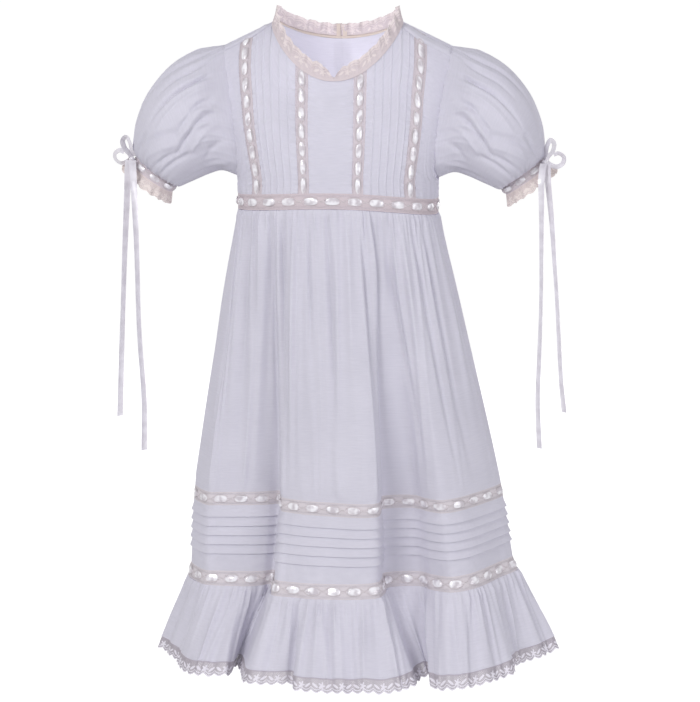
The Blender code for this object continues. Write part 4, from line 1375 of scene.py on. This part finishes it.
# Soft folds of the left sleeve: turn and ring where each starts and ends, half width (degrees), rise (mm)
SLEEVE_FOLDS = (
    (26, 0.5, 24, 3.4, 3.0, -2.8),
    (41, 0.5, 44, 2.8, 2.4, -2.8),
    (56, 0.5, 60, 3.6, 2.4, -3.6),
    (65, 0.5, 76, 3.8, 2.6, 1.8),
    (73, 0.5, 100, 2.9, 2.4, -2.6),
    (80, 0.5, 108, 3.0, 2.6, 1.8),
    (87, 0.5, 118, 3.4, 2.2, -3.0),
    (98, 0.5, 126, 2.6, 2.4, 1.6),
    (122, 2.0, 108, 5.8, 3.2, -2.6),
    (95, 2.3, 56, 4.9, 4.0, -3.0),
    (106, 2.4, 72, 5.2, 3.4, 2.0),
    (113, 2.6, 88, 5.7, 3.2, -2.8),
    (62, 3.6, 46, 5.8, 4.0, -2.8),
    (20, 3.4, 24, 5.7, 4.0, -2.4),
    (112, 0.4, 140, 1.8, 3.5, -1.8),
    (142, 0.4, 150, 1.8, 4.0, 1.6),
    (158, 0.6, 150, 5.2, 5.0, -2.2),
    (205, 0.5, 215, 4.5, 6.0, -2.4),
    (240, 0.5, 236, 4.8, 5.0, 2.0),
    (265, 0.5, 272, 5.0, 5.0, -2.6),
    (300, 0.5, 296, 4.6, 5.0, -2.4),
    (330, 0.5, 338, 4.4, 5.0, 2.0),
)


def sleeve_relief(around, along):
    """Return the rise (mm) of the sleeve's gathers and soft folds. The head's gathers fade under the arm."""
    from_top = 180 - abs(180 - around)
    upper = 0.3 + 0.7 * min(1.0, max(0.0, (135 - from_top) / 20))
    total = gathered(SLEEVE_HEAD, around, max(0.0, along - 0.7), SLEEVE_START) * upper
    total += gathered(SLEEVE_WRIST, around, len(SLEEVE) - along, SLEEVE_START)
    for start_turn, start, end_turn, end, half, rise in SLEEVE_FOLDS:
        part = (along - start) / (end - start)
        line = start_turn + part * (end_turn - start_turn)
        total += fold_rise(rise, part, (around - line) / half)
    return total


def make_sleeve(name, hand):
    """Make a sleeve, its cuff beading, ribbon and lace."""
    shape = mirrored(sleeve, hand)
    centre = Vector((SLEEVE_CENTRE[0] * hand, 0, SLEEVE_CENTRE[1]))
    flat = (0.34, 0.13)
    piece = shell("cloth_sleeve_" + name, shape, spread(0, 360, 320), spread(0, len(SLEEVE), 60), BATISTE,
                  size=flat, relief=sleeve_relief, closed=True, centre=centre)
    dress(piece, "cotton_batiste", "sleeve_" + name)

    shape = mirrored(cuff, hand)
    centre = Vector((CUFF_CENTRE[0] * hand, 0, CUFF_CENTRE[1]))
    make_beading("cuff_" + name, shape, (0, 360, 400), CUFF_BAND, 0.0, CUFF_RIBBON, UPRIGHT_LACE,
                 ("cuff_beading_" + name, "cuff_ribbon_" + name), (None, 0.01), UPRIGHT_REPEAT, centre=centre)

    ruler = Ruler(lambda around: shape(around, CUFF_BAND + CUFF_LACE / 2), 0, 360, 400)
    total = ruler.total
    down = scalloped(total / CUFF_SCALLOPS, CUFF_LACE, CUFF_SCALLOP_DEPTH)

    def surface(distance, part):
        return shape(ruler.parameter(distance), CUFF_BAND + down(distance, part))

    def frill(distance, part):
        turn = distance / total * 2 * math.pi
        return CUFF_FRILL * part * (math.cos(14 * turn + math.sin(3 * turn)) + 0.4 * math.cos(23 * turn))

    piece = shell("lace_edge_cuff_" + name, surface, spread(0, total, 180), spread(0, 1, 7), CUFF_FINISH,
                  chart=lambda d, part: (d, down(d, part)), relief=frill, wall=LACE_WALL, centre=centre)
    dress(piece, "cotton_lace", "cuff_lace_" + name)


# Bows
def heading(route, k):
    """Return the way in which a route runs at its point k."""
    return route[min(k + 1, len(route) - 1)] - route[max(k - 1, 0)]


def ribbon_strip(name, route, widths, width, curl):
    """Make a ribbon along a route, its edges curled a little."""
    lengths = lengths_along(route)
    bm = bmesh.new()
    place_in_map = bm.loops.layers.uv.new("map")
    bmesh.ops.create_grid(bm, x_segments=len(route) - 1, y_segments=6, size=0.5, calc_uvs=True)
    for vert in bm.verts:
        k = round((vert.co.x + 0.5) * (len(route) - 1))
        part = 2 * vert.co.y
        for loop in vert.link_loops:
            loop[place_in_map].uv = (lengths[k], part * width / 2)
        along = heading(route, k)
        across = (widths[k] - along * (widths[k].dot(along) / along.length_squared)).normalized()
        thick = along.cross(across).normalized()
        vert.co = route[k] + across * (part * width / 2) + thick * (curl * part * part)
    return finish_piece(name, bm, SATIN, RIBBON_WALL)


def make_bow(name, hand):
    """Make a bow's two loops from one ribbon, and the knot over them."""
    points = [Vector((x * -hand, y, z)) * MM for x, y, z in BOW_LOOPS]
    stations = list(range(len(points)))
    route = [smooth(stations, points, k / BOW_STEPS) for k in range(BOW_STEPS * stations[-1] + 1)]
    deep = Vector((0, 1, 0))
    widths = [0.7 * heading(route, k).cross(deep).normalized() + 0.7 * deep for k in range(len(route))]
    piece = ribbon_strip("ribbon_bow_" + name, route, widths, BOW_RIBBON, 0)
    dress(piece, "satin_ribbon", "bow_loops_" + name)

    bm = bmesh.new()
    bmesh.ops.create_uvsphere(bm, u_segments=32, v_segments=20, radius=KNOT_RADIUS)
    for vert in bm.verts:
        folds = 1 + 0.07 * math.cos(9 * math.atan2(vert.co.y, vert.co.z))
        vert.co = Vector((vert.co.x * 0.95, vert.co.y * folds, vert.co.z * 0.95 * folds))
        vert.co += Vector((KNOT[0] * MM * -hand, KNOT[1] * MM, KNOT[2] * MM))
    piece = finish_piece("ribbon_knot_" + name, bm, SATIN, 0)
    dress(piece, "satin_ribbon", "bow_knot_" + name)


def make_tail(name, rows):
    """Make a ribbon tail that hangs from a bow to its cut end."""
    rows = rows[::-1]
    stations = column(rows, 2)
    points = [Vector(row[:3]) * MM for row in rows]
    route = []
    widths = []
    for height in spread(stations[-1], stations[0], TAIL_STEPS):
        route.append(smooth(stations, points, height))
        turn = math.radians(smooth(stations, column(rows, 3), height))
        widths.append(Vector((math.cos(turn), math.sin(turn), 0)))
    piece = ribbon_strip(name.replace("tail", "ribbon_tail"), route, widths, RIBBON, TAIL_CURL)
    dress(piece, "satin_ribbon", name)
    lengths_along(route)[-1]


# Back closing
def make_back_closing():
    """Make the button strip down the centre back and finish its buttons."""
    def surface(s, t):
        turn = turn_at(s * STRIP_HALF / MM, WAIST_HALF / MM)
        return torso(turn, bodice_way(turn, 1, t), 1)

    def edge_stitching(s, t):
        return 0.25 * math.exp(-((abs(s) - 0.8) / 0.08) ** 2)

    flat = (0.014, 0.16)
    piece = shell("cloth_button_strip", surface, spread(-1, 1, 24), spread(0, STRIP_TOP, 60), BATISTE,
                  size=flat, relief=edge_stitching, lift=1.2 * MM)
    dress(piece, "cotton_batiste", "button_strip")
    for number in (1, 2, 3):
        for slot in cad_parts[f"button_{number}"].material_slots:
            slot.material = PEARL


# Light, floor and camera
FLOOR_SIZE = 30
SENSOR = 36
LENS = 120.32
CAMERA_TURN = 4.5
CAMERA_AWAY = 2.4
CAMERA_RISE = 0.44
CAMERA_TARGET = (0.012, 0, -0.340)
DRESS_MIDDLE = (0, 0, -0.35)
# Soft lamps: name, place, the point they face, size, power and colour. The last one stands for light that
# comes in at the neck and through the thin back, so the inside is as bright as the outside
LAMPS = (
    ("key", (-1.3, -2.3, 1.0), DRESS_MIDDLE, (1.0, 1.0), 38, "#FFFFFF"),
    ("fill", (2.2, -1.9, -0.1), DRESS_MIDDLE, (1.4, 1.4), 23, "#FBFBFF"),
    ("back", (0, 2.2, 0.2), DRESS_MIDDLE, (3.6, 1.6), 40, "#FFFFFF"),
    ("inside", (0, -0.035, -0.11), (0, 0.06, -0.05), (0.12, 0.05), 0.105, "#FFFFFF"),
)


def stand(name, data, place, target):
    """Put a lamp or a camera at a place so that it faces a point."""
    holder = bpy.data.objects.new(name, data)
    holder.location = place
    holder.rotation_euler = (Vector(target) - Vector(place)).to_track_quat("-Z", "Y").to_euler()
    bpy.context.scene.collection.objects.link(holder)
    return holder


def glow(tree, lit, seen):
    """Return a strength that is one number as light and another as the camera sees it."""
    return span(tree, node(tree, "LightPath").outputs["Is Camera Ray"], 0.0, 1.0, lit, seen)


def make_studio():
    """Make the white floor, the lamps, the sky and the camera."""
    scene = bpy.context.scene
    white = linear("#FFFFFF")
    bm = bmesh.new()
    bmesh.ops.create_grid(bm, x_segments=1, y_segments=1, size=FLOOR_SIZE)
    floor_material, tree, shader = new_material("white studio floor")
    feed(tree, shader, {"Base Color": linear("#8F8F8F"), "Roughness": 1.0, "Emission Color": white,
                        "Emission Strength": glow(tree, 0.35, 0.85)})
    floor = finish_piece("floor", bm, floor_material, 0)
    floor.location = (0, 0, FLOOR)

    for name, place, target, size, power, colour in LAMPS:
        lamp = bpy.data.lights.new(name, "AREA")
        lamp.shape = "RECTANGLE"
        lamp.size, lamp.size_y = size
        lamp.energy = power
        lamp.color = linear(colour)[:3]
        stand(name, lamp, place, target).visible_camera = False

    world = bpy.data.worlds.new("white studio")
    world.use_nodes = True
    tree = world.node_tree
    feed(tree, tree.nodes["Background"], {"Color": white, "Strength": glow(tree, 0.52, 1.0)})
    scene.world = world
    scene.view_settings.view_transform = "Standard"
    scene.view_settings.look = "None"

    camera = bpy.data.cameras.new("photo view")
    camera.sensor_width = SENSOR
    camera.lens = LENS
    turn = math.radians(CAMERA_TURN)
    away = Vector((CAMERA_AWAY * math.sin(turn), -CAMERA_AWAY * math.cos(turn), CAMERA_RISE))
    scene.camera = stand("photo view", camera, Vector(CAMERA_TARGET) + away, CAMERA_TARGET)


make_studio()
for tail, rows in TAILS.items():
    make_tail(tail, rows)
make_bow("left", -1)
make_bow("right", 1)
make_bodice()
make_back_closing()
make_neck()
make_waist()
make_skirt()
make_sleeve("left", -1)
make_sleeve("right", 1)
